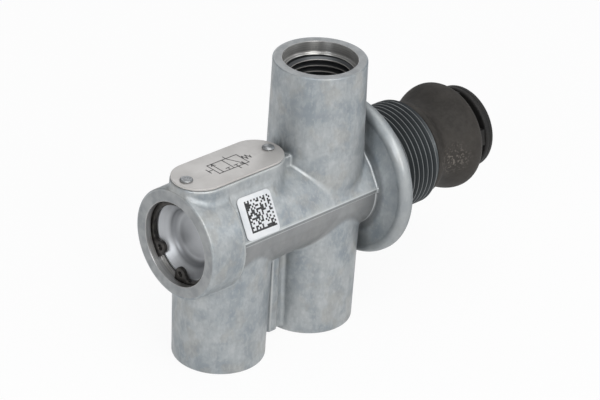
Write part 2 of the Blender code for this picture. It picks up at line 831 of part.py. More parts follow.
def eased(start, end, steps):
    """Points that leave and reach two (along, radius) places level, as a moulded convolution does."""
    points = []
    for step in range(1, steps + 1):
        share = step / steps
        blend = (1 - math.cos(math.pi * share)) / 2
        points.append((start[0] + (end[0] - start[0]) * share, start[1] + (end[1] - start[1]) * blend))
    return points


def boot_outline():
    """Outer line of the boot: shoulder on the neck's face, waist, round fold, lip at the button."""
    span = LIP_END - BOOT_START
    shoulder = (BOOT_START + 0.85, BOOT_WAIST_R + 1.2)
    waist = (BOOT_START + span * 0.26, BOOT_WAIST_R)
    bulge = (BOOT_START + span * 0.8, BOOT_BULGE_R)
    points = [(BOOT_START, shoulder[1]), shoulder]
    points += eased(shoulder, waist, 3)
    points += eased(waist, bulge, 5)
    reach = LIP_END - bulge[0]
    drop = 2.6
    for angle in (25, 47, 66, 80):
        turn = math.radians(angle)
        points.append((bulge[0] + reach * math.sin(turn), bulge[1] - drop * (1 - math.cos(turn))))
    return points


def rubber_boot(look):
    """Convoluted boot: bead in the neck's groove, waist, round fold and a lip in the hub's groove."""
    outer = boot_outline()
    inner = []
    for index, (along, radius) in enumerate(outer):
        before = outer[max(index - 1, 0)]
        after = outer[min(index + 1, len(outer) - 1)]
        slope = Vector((after[0] - before[0], after[1] - before[1])).normalized()
        inner.append((along + slope.y * BOOT_WALL, radius - slope.x * BOOT_WALL))
    throat = NECK_MOUTH_R - FIT
    inside = throat - BOOT_BEAD
    bead_start = BOOT_GROOVE_X + FIT
    bead_end = bead_start + BOOT_BEAD
    bead_r = NECK_MOUTH_R + BOOT_BEAD - 0.2 - FIT
    lip_r = HUB_NECK_R + FIT
    profile = [(bead_start, inside), (bead_start, bead_r), (bead_end, bead_r), (bead_end, throat),
               (BOOT_START, throat)]
    profile += outer
    profile += [(LIP_END, BOOT_WAIST_R - 0.5), (LIP_END, lip_r), (LIP_START, lip_r),
                (LIP_START, HUB_R + 0.6), (LIP_START - 0.6, BOOT_WAIST_R - 0.3)]
    profile += list(reversed(inner[1:-3]))
    profile += [(BOOT_START + 0.45, inside)]
    return turned("rubber_boot", profile, look, 28, closed=True)


# Plate, rivets and sticker on the housing
def nameplate(look):
    low = PAD_TOP + PLATE_LIFT
    outline = stadium(PAD_R - PLATE_INSET, PLATE_START, PLATE_END)
    plate = slab("nameplate", outline, low, low + PLATE_THICK)
    bottom = low - 1.0
    top = low + 2.0
    profile = [(bottom, 0.0), (bottom, RIVET_HOLE_R), (top, RIVET_HOLE_R), (top, 0.0)]
    holes = [upright("plate_hole", profile, x, segments=14, cutter=True)
             for x in (RIVET_FRONT_X, RIVET_REAR_X)]
    combine(plate, holes, "DIFFERENCE")
    return finish_solid(plate, look)


def rivet(name, x, rise, look):
    """Drive rivet with a low head on the plate and a plain shank in the pad."""
    seat = PAD_TOP + 2 * PLATE_LIFT + PLATE_THICK
    tip = PAD_TOP - RIVET_DEPTH + FIT
    shank = RIVET_HOLE_R - FIT
    head = RIVET_HOLE_R + 0.4
    profile = [(tip, 0.0), (tip, shank - 0.2), (tip + 0.4, shank), (seat, shank), (seat, head),
               (seat + 0.25, head), (seat + rise * 0.8, head * 0.7), (seat + rise, head * 0.27),
               (seat + rise, 0.0)]
    return upright(name, profile, x, look, segments=14)


def code_label(look):
    """Thin rounded sticker on the leaning flat, turned a little as it was stuck on by hand."""
    outline = []
    for side_x, side_y, first in ((1, 1, 0), (-1, 1, 90), (-1, -1, 180), (1, -1, 270)):
        for step in range(5):
            angle = math.radians(first + 90 * step / 4)
            outline.append((side_x * (LABEL_WIDTH / 2 - LABEL_CORNER) + LABEL_CORNER * math.cos(angle),
                            side_y * (LABEL_HEIGHT / 2 - LABEL_CORNER) + LABEL_CORNER * math.sin(angle)))
    bm = bmesh.new()
    face = bm.faces.new([bm.verts.new((x, y, 0.0)) for x, y in outline])
    lifted = bmesh.ops.extrude_face_region(bm, geom=[face])["geom"]
    tops = [item for item in lifted if isinstance(item, bmesh.types.BMVert)]
    bmesh.ops.translate(bm, verts=tops, vec=(0, 0, LABEL_THICK))
    obj = add_object("code_label", bm, look)
    gap = 0.12
    y = -HOUSING_LEDGE_Y + LABEL_RISE * math.sin(HOUSING_LEAN) - gap * math.cos(HOUSING_LEAN)
    z = HOUSING_LEDGE_Z + LABEL_RISE * math.cos(HOUSING_LEAN) + gap * math.sin(HOUSING_LEAN)
    obj.location = at(BARREL_LENGTH + LABEL_FROM_BARREL, y, z)
    spin = Matrix.Rotation(-LABEL_TURN, 4, "Z")
    tilt = Matrix.Rotation(math.radians(90) - HOUSING_LEAN, 4, "X")
    obj.rotation_euler = (tilt @ spin).to_euler()
    return obj


def bring_to_metres():
    for obj in bpy.data.objects:
        obj.data.transform(Matrix.Scale(MM, 4))
        obj.location *= MM
    bpy.context.view_layer.update()


def carry(group):
    """Hangs the pieces that the push moves on one empty, which lies on the spool axis."""
    moving = bpy.data.objects.new("moving_group", None)
    bpy.context.collection.objects.link(moving)
    moving.location = at(0.0) * MM
    bpy.context.view_layer.update()
    for obj in group:
        obj.parent = moving
        obj.matrix_parent_inverse = moving.matrix_world.inverted()


def build():
    for old in list(bpy.data.objects):
        bpy.data.objects.remove(old, do_unlink=True)
    cast = material("die_cast_alloy", (0.52, 0.55, 0.58), 0.42, 0.85)
    plug_metal = material("turned_aluminium", (0.62, 0.64, 0.67), 0.28, 0.95)
    spring_steel = material("spring_steel", (0.42, 0.42, 0.43), 0.32, 1.0)
    black_steel = material("phosphated_steel", (0.05, 0.05, 0.05), 0.45, 0.8)
    spool_metal = material("anodised_aluminium", (0.56, 0.57, 0.58), 0.35, 0.9)
    stem_steel = material("ground_steel", (0.6, 0.6, 0.6), 0.22, 1.0)
    brass = material("bush_brass", (0.78, 0.6, 0.3), 0.32, 0.95)
    seal_rubber = material("seal_rubber", (0.02, 0.02, 0.02), 0.6, 0.0)
    boot_rubber = material("boot_rubber", (0.045, 0.04, 0.036), 0.75, 0.0)
    button_plastic = material("button_plastic", (0.03, 0.03, 0.03), 0.5, 0.0)
    plate_metal = material("plate_aluminium", (0.72, 0.7, 0.68), 0.35, 0.6)
    label_film = material("label_film", (0.85, 0.86, 0.88), 0.45, 0.0)

    valve_body(cast)
    end_plug(plug_metal)
    seal("end_plug_seal", PLUG_SEAL_X, seal_root(PLUG_R), seal_rubber)
    snap_ring("retaining_ring", FRONT_BORE_R, RING_GROOVE_X + FIT, 1.6, math.radians(-62), black_steel)
    return_spring(spring_steel)

    group = [
        spool(spool_metal),
        seal("spool_seal_middle", MIDDLE_SEAL_X, seal_root(LAND_R), seal_rubber),
        seal("spool_seal_rear", REAR_SEAL_X, seal_root(LAND_R), seal_rubber),
        plunger(stem_steel),
        push_button(button_plastic),
    ]
    guide_bush(brass)
    seal("guide_bush_seal", BUSH_SEAL_X, seal_root(BUSH_R), seal_rubber)
    stem_seal(seal_rubber)
    seal_washer(plug_metal)
    snap_ring("bush_retaining_ring", REAR_BORE_R, BUSH_END + FIT, 1.45, math.radians(-90), black_steel)
    rubber_boot(boot_rubber)
    nameplate(plate_metal)
    rivet("rivet_front", RIVET_FRONT_X, 0.45, plate_metal)
    rivet("rivet_rear", RIVET_REAR_X, 0.7, plate_metal)
    code_label(label_film)
    bring_to_metres()
    carry(group)


build()
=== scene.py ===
"""Looks of the push-button pneumatic valve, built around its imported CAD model."""
import math

import bmesh
import bpy
import numpy as np
from mathutils import Matrix, Vector


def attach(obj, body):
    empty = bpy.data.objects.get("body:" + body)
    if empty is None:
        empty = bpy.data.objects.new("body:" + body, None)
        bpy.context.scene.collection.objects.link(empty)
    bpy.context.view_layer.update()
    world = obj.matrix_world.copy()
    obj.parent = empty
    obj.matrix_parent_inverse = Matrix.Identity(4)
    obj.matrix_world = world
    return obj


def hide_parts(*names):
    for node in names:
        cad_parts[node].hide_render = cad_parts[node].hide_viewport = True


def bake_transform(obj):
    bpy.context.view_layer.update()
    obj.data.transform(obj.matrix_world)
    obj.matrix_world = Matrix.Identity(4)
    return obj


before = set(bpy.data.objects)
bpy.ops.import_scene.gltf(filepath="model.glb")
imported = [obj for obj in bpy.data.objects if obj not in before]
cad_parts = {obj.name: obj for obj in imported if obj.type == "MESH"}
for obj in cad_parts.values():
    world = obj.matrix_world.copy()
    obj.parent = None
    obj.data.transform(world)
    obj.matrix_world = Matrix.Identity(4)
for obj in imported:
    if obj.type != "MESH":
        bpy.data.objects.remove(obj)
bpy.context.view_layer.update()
scene = bpy.context.scene

# Camera: at the photograph's viewing angle, a long lens that looks down on the plugged end and
# the side with the sticker.
azimuth, elevation, roll = (math.radians(angle) for angle in (-44.715, 29.392, 3.262))
aim = Vector((-0.008263, 0.0, 0.031670))
camera_distance = 0.596987
focal_share = 2549.1 / 600
back = Vector((math.sin(azimuth) * math.cos(elevation), -math.cos(azimuth) * math.cos(elevation),
               math.sin(elevation)))
level_right = (-back).cross(Vector((0, 0, 1))).normalized()
level_up = level_right.cross(-back)
right = math.cos(roll) * level_right + math.sin(roll) * level_up
up = -math.sin(roll) * level_right + math.cos(roll) * level_up
camera = bpy.data.cameras.new("camera")
camera.sensor_width = 36.0
camera.lens = focal_share * camera.sensor_width
camera.clip_start = 0.01
camera_object = bpy.data.objects.new("camera", camera)
scene.collection.objects.link(camera_object)
camera_object.matrix_world = Matrix.Translation(aim + back * camera_distance) @ Matrix(
    (right, up, back)).transposed().to_4x4()
scene.camera = camera_object
scene.view_settings.view_transform = "Standard"


# Studio: a white sweep under and behind the valve, lit by large soft lamps. The camera and
# the reflections see the sweep as plain white, and the floor keeps the valve's shadow.
def add_node(tree, kind, inputs=None, **settings):
    """Adds a node. An input that is a socket is linked, and any other value is set."""
    made = tree.nodes.new(kind)
    for name, value in settings.items():
        setattr(made, name, value)
    for name, value in (inputs or {}).items():
        if isinstance(value, bpy.types.NodeSocket):
            tree.links.new(value, made.inputs[name])
        else:
            made.inputs[name].default_value = value
    return made


def calculate(tree, operation, *values, clamp=False):
    made = add_node(tree, "ShaderNodeMath", dict(enumerate(values)), operation=operation, use_clamp=clamp)
    return made.outputs[0]


def plus(tree, first, second):
    return calculate(tree, "ADD", first, second)


def minus(tree, first, second):
    return calculate(tree, "SUBTRACT", first, second)


def times(tree, first, second):
    return calculate(tree, "MULTIPLY", first, second)


world = bpy.data.worlds.new("studio")
scene.world = world
world.use_nodes = True
tree = world.node_tree
tree.nodes.clear()
rays = add_node(tree, "ShaderNodeLightPath")
seen = calculate(tree, "MAXIMUM", rays.outputs["Is Camera Ray"], rays.outputs["Is Transmission Ray"])
direction = add_node(tree, "ShaderNodeTexCoord").outputs["Generated"]
height = add_node(tree, "ShaderNodeSeparateXYZ", {"Vector": direction})
side = add_node(tree, "ShaderNodeVectorMath", {0: direction, 1: (0.35, -0.94, 0.0)}, operation="DOT_PRODUCT")
sky = add_node(tree, "ShaderNodeMapRange", {"Value": height.outputs["Z"], "From Min": -0.5, "From Max": 0.9,
                                            "To Min": 0.30, "To Max": 0.70}, interpolation_type="SMOOTHSTEP")
front = add_node(tree, "ShaderNodeMapRange", {"Value": side.outputs["Value"], "From Min": -0.9, "From Max": 0.7,
                                              "To Min": 0.50, "To Max": 1.0}, interpolation_type="SMOOTHSTEP")
reflected = times(tree, sky.outputs[0], front.outputs[0])
ambient = add_node(tree, "ShaderNodeBackground", {"Color": (0.96, 0.98, 1.0, 1.0),
                                                  "Strength": 0.42})
mirrored = add_node(tree, "ShaderNodeBackground", {"Color": (1.0, 1.0, 1.0, 1.0), "Strength": reflected})
white = add_node(tree, "ShaderNodeBackground", {"Color": (1.0, 1.0, 1.0, 1.0), "Strength": 1.0})
lit = add_node(tree, "ShaderNodeMixShader", {0: rays.outputs["Is Glossy Ray"], 1: ambient.outputs[0],
                                             2: mirrored.outputs[0]})
shown = add_node(tree, "ShaderNodeMixShader", {0: seen, 1: lit.outputs[0], 2: white.outputs[0]})
add_node(tree, "ShaderNodeOutputWorld", {"Surface": shown.outputs[0]})

for name, place_at, size, watts, colour in (
        ("key", (-0.12, -0.50, 0.72), 0.50, 2.2, (1.0, 0.985, 0.965)),
        ("front_left", (-0.69, -0.30, 0.36), 0.28, 1.4, (0.97, 0.985, 1.0)),
        ("front_right", (-0.29, -0.69, 0.34), 0.28, 1.4, (1.0, 0.99, 0.975)),
        ("side", (0.35, -0.68, 0.35), 0.42, 0.8, (0.97, 0.985, 1.0)),
        ("top", (0.05, 0.05, 0.85), 0.50, 1.0, (1.0, 1.0, 1.0)),
        ("back", (0.45, 0.55, 0.45), 0.50, 0.7, (0.97, 0.98, 1.0))):
    lamp = bpy.data.lights.new(name, "AREA")
    lamp.shape = "SQUARE"
    lamp.size = size
    lamp.energy = watts
    lamp.color = colour
    lamp_object = bpy.data.objects.new(name, lamp)
    scene.collection.objects.link(lamp_object)
    lamp_object.location = place_at
    lamp_object.rotation_euler = (Vector((0, 0, 0.035)) - lamp_object.location).to_track_quat("-Z", "Y").to_euler()

floor_reach = 3.0
floor_mesh = bpy.data.meshes.new("floor")
floor_mesh.from_pydata([(-floor_reach, -floor_reach, 0), (floor_reach, -floor_reach, 0),
                        (floor_reach, floor_reach, 0), (-floor_reach, floor_reach, 0)], [], [(0, 1, 2, 3)])
floor = bpy.data.objects.new("floor", floor_mesh)
scene.collection.objects.link(floor)
floor.location.z = -0.00005
sweep = bpy.data.materials.new("white_sweep")
sweep.use_nodes = True
tree = sweep.node_tree
tree.nodes.clear()
rays = add_node(tree, "ShaderNodeLightPath")
seen = calculate(tree, "MAXIMUM", rays.outputs["Is Camera Ray"], rays.outputs["Is Transmission Ray"])
direct = calculate(tree, "MAXIMUM", seen, times(tree, rays.outputs["Is Glossy Ray"], 0.58))
paper = add_node(tree, "ShaderNodeBsdfDiffuse", {"Color": (0.8, 0.8, 0.8, 1.0)})
glow = add_node(tree, "ShaderNodeEmission", {"Color": (1.0, 1.0, 1.0, 1.0), "Strength": 1.0})
blend = add_node(tree, "ShaderNodeMixShader", {0: times(tree, direct, 0.92), 1: paper.outputs[0],
                                               2: glow.outputs[0]})
add_node(tree, "ShaderNodeOutputMaterial", {"Surface": blend.outputs[0]})
floor_mesh.materials.append(sweep)


# Casting: the valve's body, one die casting of aluminium alloy that is blasted to a matt skin.
# Its forms run into each other with fillets of the die: the barrel at the plugged end, the
# housing with its leaning flats, ledge and belly, three port bosses, web, pad and panel flange.
MM = 0.001
valve_length = 94.0
axis_height = 33.7
spool_axis = np.array((-valve_length / 2, 0.0, axis_height))

port_top_rise = 33.9
port_left_x, port_right_x = 14.6, 42.7
port_rim_r, port_draft = 11.0, 0.5
barrel_r, barrel_draft, barrel_length = 13.25, 0.25, 9.6
housing_flat, housing_lean = 11.6, math.radians(30)
ledge_z, ledge_step, ledge_face = 1.9, 0.45, 1.0
ledge_y = (housing_flat - ledge_z * math.sin(housing_lean)) / math.cos(housing_lean)
belly_r = math.hypot(ledge_y - ledge_step, ledge_z - ledge_step)
round_from, round_to = 22.5, 27.0
web_half, rib_half, rib_width = 2.9, 3.6, 2.6
pad_r, pad_start, pad_end, pad_top = 6.65, 0.05, 30.6, 14.9
flange_x, flange_end, flange_r, flange_round = 53.2, 56.0, 20.0, 2.0
spool_bore_r = 6.0
socket_depth = 16.5
plug_room_r, plug_room_depth = 11.6, 10.0
mouth_room_r, mouth_room_depth, thread_room_r = 9.25, 3.1, 8.6
outlet_way_x, supply_way_x = 38.5, 45.8
thread_crest_r = 7.2
rivet_front_x, rivet_rear_x, rivet_hole_r = 2.9, 27.6, 1.1

# The turned ends are pieces of their own, so the casting stays this much inside them
under_skin = 0.015
rim_below = 0.3


def rounded_union(a, b, radius):
    """Joins two distance fields with a fillet."""
    return np.maximum(radius, np.minimum(a, b)) - np.hypot(np.maximum(radius - a, 0), np.maximum(radius - b, 0))


def rounded_common(a, b, radius):
    """What two distance fields share, with the edge rounded off."""
    return -rounded_union(-a, -b, radius)


def bar(along, out, start, end, radius, edge=0.0):
    """Round bar: its edge is rounded at both ends."""
    return rounded_common(out - radius, np.maximum(start - along, along - end), edge)


def slab(distances, edge):
    """Straight-sided block from the distances to its sides."""
    shape = distances[0]
    for side_distance in distances[1:]:
        shape = rounded_common(shape, side_distance, edge)
    return shape


def casting(x, y, z):
    """Distance in millimetres from a point to the casting's skin, negative inside."""
    across = np.abs(y)
    out = np.hypot(y, z)
    from_left = np.hypot(x - port_left_x, y)
    from_right = np.hypot(x - port_right_x, y)

    lean = across * math.cos(housing_lean) + z * math.sin(housing_lean) - housing_flat
    upper = rounded_common(rounded_common(lean, across - ledge_y, 0.2), z - housing_flat, 0.8)
    rounding = np.clip((x - round_from) / (round_to - round_from), 0, 1) * (z > across * math.tan(housing_lean))
    upper = upper + rounding * (np.maximum(out - housing_flat, upper) - upper)
    upper = rounded_common(upper, ledge_z - ledge_face - z, 0.1)
    housing = rounded_union(upper, np.maximum(out - belly_r, z - ledge_z), 0.12)
    housing = np.maximum(housing, np.maximum(barrel_length - 1.2 - x, x - flange_x - 0.4))

    root_r = port_rim_r + port_draft
    above = np.clip((port_top_rise - 0.5 - z) / (port_top_rise * 0.88 - 0.5), 0, 1)
    below = np.clip((axis_height - 0.5 + z) / (axis_height * 0.88 - 0.5), 0, 1)
    top = bar(z, from_right, -2.0, port_top_rise - rim_below, port_rim_r + port_draft * above, 0.4)
    lower_r = port_rim_r + port_draft * below
    left = bar(z, from_left, rim_below - axis_height, 1.2, lower_r, 0.4)
    right_boss = bar(z, from_right, rim_below - axis_height, 1.2, lower_r, 0.4)

    middle = (port_left_x + port_right_x) / 2
    web_low = axis_height - 1.0
    web = slab([across - web_half, -z - web_low, z + spool_bore_r,
                np.abs(x - middle) - (port_right_x - port_left_x) / 2 + root_r - 3.5], 0.5)
    rib = slab([across - rib_half, -z - web_low, z + spool_bore_r, np.abs(x - middle) - rib_width / 2], 0.5)
    web = rounded_union(web, rib, 0.5)

    barrel = bar(x, out, rim_below, barrel_length, barrel_r + barrel_draft * np.clip(x, 0, 10) / barrel_length, 0.35)
    pad_middle = np.clip(x, pad_start + pad_r, pad_end - pad_r)
    pad = rounded_common(np.hypot(x - pad_middle, y) - pad_r - 0.035 * (pad_top - z),
                         np.maximum(z - pad_top, housing_flat - 3.6 - z), 0.35)
    bridge = slab([across - pad_r / 2, z - pad_top + 1.2, pad_end - 1.6 - x, x - port_right_x + root_r - 4.8,
                   housing_flat - 3.1 - z], 0.4)
    cone = 1.2 * np.clip((17.5 - out) / 5.0, 0, 1)
    flange = rounded_common(np.maximum(out - flange_r, x - flange_end + 0.15), flange_x - cone - x, flange_round)

    shape = rounded_union(housing, np.minimum(left, right_boss), 0.7)
    shape = rounded_union(shape, web, 0.7)
    shape = rounded_union(shape, barrel, 0.2)
    shape = rounded_union(shape, pad, 0.9)
    shape = rounded_union(shape, top, 0.5)
    shape = rounded_union(shape, bridge, 0.4)
    shape = rounded_union(shape, flange, 0.3)
    shape = np.maximum(shape, np.minimum(pad_start - x, rim_below - x + np.maximum(out - barrel_r, 0)))

    outside = -5.0
    bores = [bar(x, out, outside, plug_room_depth, plug_room_r), bar(x, out, 5.0, 60.0, spool_bore_r)]
    for from_port, rise, way_x, way_r in ((from_right, port_top_rise - z, outlet_way_x, 1.75),
                                          (from_right, z + axis_height, supply_way_x, 1.75),
                                          (from_left, z + axis_height, port_left_x, 2.75)):
        bores.append(bar(rise, from_port, outside, mouth_room_depth, mouth_room_r))
        bores.append(bar(rise, from_port, outside, socket_depth, thread_room_r))
        cone_r = thread_crest_r - (rise - socket_depth) / math.tan(math.radians(31))
        bores.append(bar(rise, from_port, socket_depth - 1.0, socket_depth + 2.6,
                         np.minimum(cone_r, thread_crest_r)))
        bores.append(bar(rise, np.hypot(x - way_x, y), socket_depth - 1.5, axis_height, way_r))
    for rivet_x in (rivet_front_x, rivet_rear_x):
        bores.append(bar(z, np.hypot(x - rivet_x, y), pad_top - 2.6, 30.0, rivet_hole_r))
    for bore in bores:
        shape = np.maximum(shape, -bore)
    return shape + under_skin


def skin(distance, low, high, cell):
    """Mesh of the skin of a distance field: one point in each grid cell that the skin crosses,
    placed where the skin's own planes meet, so that edges stay true."""
    axes = [np.arange(start, end + cell, cell) for start, end in zip(low, high)]
    shape = np.array([len(axis) for axis in axes])
    value = distance(*np.meshgrid(*axes, indexing="ij"))
    inside = value < 0
    strides = np.array((shape[1] * shape[2], shape[2], 1))
    cells_of, points_of, quads = [], [], []
    for along in range(3):
        step = np.eye(3, dtype=int)[along]
        first = inside[:shape[0] - step[0], :shape[1] - step[1], :shape[2] - step[2]]
        second = inside[step[0]:, step[1]:, step[2]:]
        crossed = np.argwhere(first != second)
        start = np.stack([axes[i][crossed[:, i]] for i in range(3)], 1)
        entering = ~first[tuple(crossed.T)]
        near, far = np.zeros(len(crossed)), np.ones(len(crossed))
        for _ in range(12):
            half = (near + far) / 2
            found = distance(*(start + half[:, None] * step * cell).T) < 0
            before = found == entering
            far = np.where(before, half, far)
            near = np.where(before, near, half)
        point = start + ((near + far) / 2)[:, None] * step * cell
        one, two = (np.eye(3, dtype=int)[(along + turn) % 3] for turn in (1, 2))
        around = [crossed @ strides - offset @ strides for offset in (0 * one, one, one + two, two)]
        cells_of += around
        points_of += [point] * 4
        quad = np.stack(around, 1)
        quad[entering] = quad[entering][:, ::-1]
        quads.append(quad)
    cells_of, points_of, quads = (np.concatenate(part) for part in (cells_of, points_of, quads))
    known, which = np.unique(cells_of, return_inverse=True)
    normal = slope(distance, points_of)
    count = np.bincount(which)
    middle = np.stack([np.bincount(which, points_of[:, i]) / count for i in range(3)], 1)
    offset = np.einsum("ij,ij->i", normal, points_of - middle[which])
    pull = np.stack([np.bincount(which, normal[:, i] * offset) for i in range(3)], 1)
    planes = np.stack([np.stack([np.bincount(which, normal[:, i] * normal[:, j]) for j in range(3)], 1)
                       for i in range(3)], 1)
    hold = 0.08
    planes += np.eye(3) * (hold * count)[:, None, None]
    shift = np.linalg.solve(planes, pull[:, :, None])[:, :, 0]
    shift = np.clip(shift, -cell * 0.6, cell * 0.6)
    faces = np.searchsorted(known, quads)
    return middle + shift, faces


def slope(distance, points, step=0.05):
    """Direction in which a distance field rises, as unit vectors."""
    rise = np.stack([distance(*(points + offset).T) - distance(*(points - offset).T)
                     for offset in np.eye(3) * step], 1)
    return rise / np.maximum(np.linalg.norm(rise, axis=1), 1e-9)[:, None]


def in_place(points):
    """Takes points in millimetres, counted from the plugged face and the spool axis, into the frame."""
    return (np.asarray(points, float) + spool_axis) * MM


def add_mesh(name, points, faces, looks=()):
    mesh = bpy.data.meshes.new(name)
    mesh.from_pydata([tuple(point) for point in in_place(points)], [], [tuple(map(int, face)) for face in faces])
    for look in looks:
        mesh.materials.append(look)
    obj = bpy.data.objects.new(name, mesh)
    scene.collection.objects.link(obj)
    return obj


def evaluated(obj):
    """Replaces an object's mesh with what its modifiers make of it, and removes them."""
    bpy.context.view_layer.update()
    graph = bpy.context.evaluated_depsgraph_get()
    mesh = bpy.data.meshes.new_from_object(obj.evaluated_get(graph))
    obj.modifiers.clear()
    mesh.name = obj.name
    obj.data = mesh
    return mesh


def shader_group(name, inputs, outputs):
    """Empty shader group with number inputs. Gives the group, its inputs and its outputs."""
    group = bpy.data.node_groups.new(name, "ShaderNodeTree")
    for label, value in inputs.items():
        group.interface.new_socket(label, in_out="INPUT", socket_type="NodeSocketFloat").default_value = value
    for label in outputs:
        group.interface.new_socket(label, in_out="OUTPUT", socket_type="NodeSocketFloat")
    return group, group.nodes.new("NodeGroupInput").outputs, group.nodes.new("NodeGroupOutput").inputs


def spread(tree, value, low, high, to_low=0.0, to_high=1.0):
    """Brings the part of a value between low and high to another range, softly at both ends."""
    made = add_node(tree, "ShaderNodeMapRange", {"Value": value, "From Min": low, "From Max": high,
                                                 "To Min": to_low, "To Max": to_high},
                    interpolation_type="SMOOTHSTEP")
    return made.outputs[0]


def mixed(tree, share, first, second):
    """Mixes two colours. Each is three numbers or a socket."""
    made = add_node(tree, "ShaderNodeMix", data_type="RGBA")
    for socket, value in ((made.inputs[0], share), (made.inputs[6], first), (made.inputs[7], second)):
        if isinstance(value, bpy.types.NodeSocket):
            tree.links.new(value, socket)
        elif isinstance(value, (int, float)):
            socket.default_value = value
        else:
            socket.default_value = (*value, 1.0)
    return made.outputs[2]


# Soft clouds of a given size, drawn out along Z by Stretch
blotches, given, put_out = shader_group("blotches", {"Size": 6.0, "Stretch": 1.0, "Seed": 0.0}, ["Mask"])
squeeze = add_node(blotches, "ShaderNodeCombineXYZ", {"X": 1.0, "Y": 1.0,
                                                      "Z": calculate(blotches, "DIVIDE", 1.0, given["Stretch"])})
where = add_node(blotches, "ShaderNodeVectorMath", {0: add_node(blotches, "ShaderNodeTexCoord").outputs["Object"],
                                                    1: squeeze.outputs[0]}, operation="MULTIPLY")
cloud = add_node(blotches, "ShaderNodeTexNoise", {
    "Vector": where.outputs[0], "W": given["Seed"], "Scale": calculate(blotches, "DIVIDE", 1000.0, given["Size"]),
    "Detail": 3.0, "Roughness": 0.55}, noise_dimensions="4D")
blotches.links.new(spread(blotches, cloud.outputs[0], 0.32, 0.68), put_out["Mask"])

# Fine even grain for bump
grain, given, put_out = shader_group("grain", {"Size": 0.3}, ["Height"])
speckle = add_node(grain, "ShaderNodeTexNoise", {
    "Vector": add_node(grain, "ShaderNodeTexCoord").outputs["Object"],
    "Scale": calculate(grain, "DIVIDE", 1000.0, given["Size"]), "Detail": 4.0, "Roughness": 0.6})
grain.links.new(speckle.outputs[0], put_out["Height"])

# Edges rubbed light with a painted highlight on them, painted highlight in fillets and painted shade in sheltered
# corners, from what the mesh says of its own shape
wear_and_painted_light, given, put_out = shader_group("edge_wear_and_painted_light", {"Sharpness": 0.1}, ["Rubbed", "Fillet_highlight", "Corner_shade"])
turn = add_node(wear_and_painted_light, "ShaderNodeAttribute", attribute_name="edge").outputs["Fac"]
wear_and_painted_light.links.new(calculate(wear_and_painted_light, "DIVIDE", turn, given["Sharpness"], clamp=True), put_out["Rubbed"])
hollow_turn = times(wear_and_painted_light, turn, -1.0)
wear_and_painted_light.links.new(calculate(wear_and_painted_light, "DIVIDE", hollow_turn, given["Sharpness"], clamp=True), put_out["Fillet_highlight"])
wear_and_painted_light.links.new(add_node(wear_and_painted_light, "ShaderNodeAttribute", attribute_name="occlusion_shade").outputs["Fac"], put_out["Corner_shade"])

# Fine rings that a turning tool leaves, in step with the way along the turned profile
tool_marks, given, put_out = shader_group("tool_marks", {"Pitch": 0.12}, ["Height"])
way = add_node(tool_marks, "ShaderNodeAttribute", attribute_name="path").outputs["Fac"]
rings = add_node(tool_marks, "ShaderNodeTexNoise", {
    "W": calculate(tool_marks, "DIVIDE", way, given["Pitch"]), "Scale": 1.0, "Detail": 3.0, "Roughness": 0.7},
    noise_dimensions="1D")
tool_marks.links.new(rings.outputs[0], put_out["Height"])


def finish(name, colour, roughness, metallic, height=None, bump=0.2, depth=0.05, **constants):
    """Material of one finish. colour, roughness and height are built by functions of its tree."""
    made = bpy.data.materials.new(name)
    made.use_nodes = True
    tree = made.node_tree
    shader = tree.nodes["Principled BSDF"]
    for label, value in (("Base Color", colour), ("Roughness", roughness), ("Metallic", metallic)):
        if callable(value):
            tree.links.new(value(tree), shader.inputs[label])
        elif isinstance(value, tuple):
            shader.inputs[label].default_value = (*value, 1.0)
        else:
            shader.inputs[label].default_value = value
    if height:
        relief = add_node(tree, "ShaderNodeBump", {"Strength": bump, "Distance": depth * MM, "Height": height(tree)})
        tree.links.new(relief.outputs[0], shader.inputs["Normal"])
    for label, value in constants.items():
        shader.inputs[label.replace("_", " ").title().replace("Ior", "IOR")].default_value = value
    return made


def grouped(tree, group, **values):
    made = add_node(tree, "ShaderNodeGroup", node_tree=group)
    for label, value in values.items():
        made.inputs[label.title()].default_value = value
    return made.outputs


def clouds(size, seed, dark, light):
    """Colour that drifts between two tones in soft clouds."""
    return lambda tree: mixed(tree, grouped(tree, blotches, size=size, seed=seed)["Mask"], dark, light)


def grains(size):
    """Height of a fine even grain."""
    return lambda tree: grouped(tree, grain, size=size)["Height"]


# Painted light and shade on the casting, in millimetres: Light is a painted highlight along the two
# edges of the ledge's face and where the flange's fillet starts, Dark a painted shadow between those
# edges and behind the fillet's line. The belly and flange outputs are painted shade that darkens
# the round belly and the flange.
painted_light_and_shade, given, put_out = shader_group("painted_light_and_shade", {}, ["Light", "Dark", "Belly_shade", "Flange_shade"])
spot = add_node(painted_light_and_shade, "ShaderNodeVectorMath", {
    0: add_node(painted_light_and_shade, "ShaderNodeTexCoord").outputs["Object"], 3: 1000.0}, operation="SCALE")
spot = add_node(painted_light_and_shade, "ShaderNodeSeparateXYZ", {"Vector": spot.outputs[0]}).outputs
aside = calculate(painted_light_and_shade, "ABSOLUTE", spot["Y"])
low = minus(painted_light_and_shade, spot["Z"], axis_height)
from_axis = calculate(painted_light_and_shade, "SQRT", plus(painted_light_and_shade, times(painted_light_and_shade, low, low), times(painted_light_and_shade, aside, aside)))


def near_line(tree, across, height, soft_from, soft_to):
    """Gives 1 on a line that runs along the spool axis at a distance and a height from it."""
    run = minus(tree, aside, across)
    rise = minus(tree, spot["Z"], axis_height + height)
    off = calculate(tree, "SQRT", plus(tree, times(tree, run, run), times(tree, rise, rise)))
    return spread(tree, off, soft_from, soft_to, 1.0, 0.0)


def near_plane(tree, x, soft_from, soft_to):
    """Gives 1 on a plane across the spool axis, as far out as the flange reaches."""
    off = calculate(tree, "ABSOLUTE", minus(tree, spot["X"], x - valve_length / 2))
    return times(tree, spread(tree, off, soft_from, soft_to, 1.0, 0.0),
                 spread(tree, from_axis, flange_r - 3.0, flange_r, 1.0, 0.0))


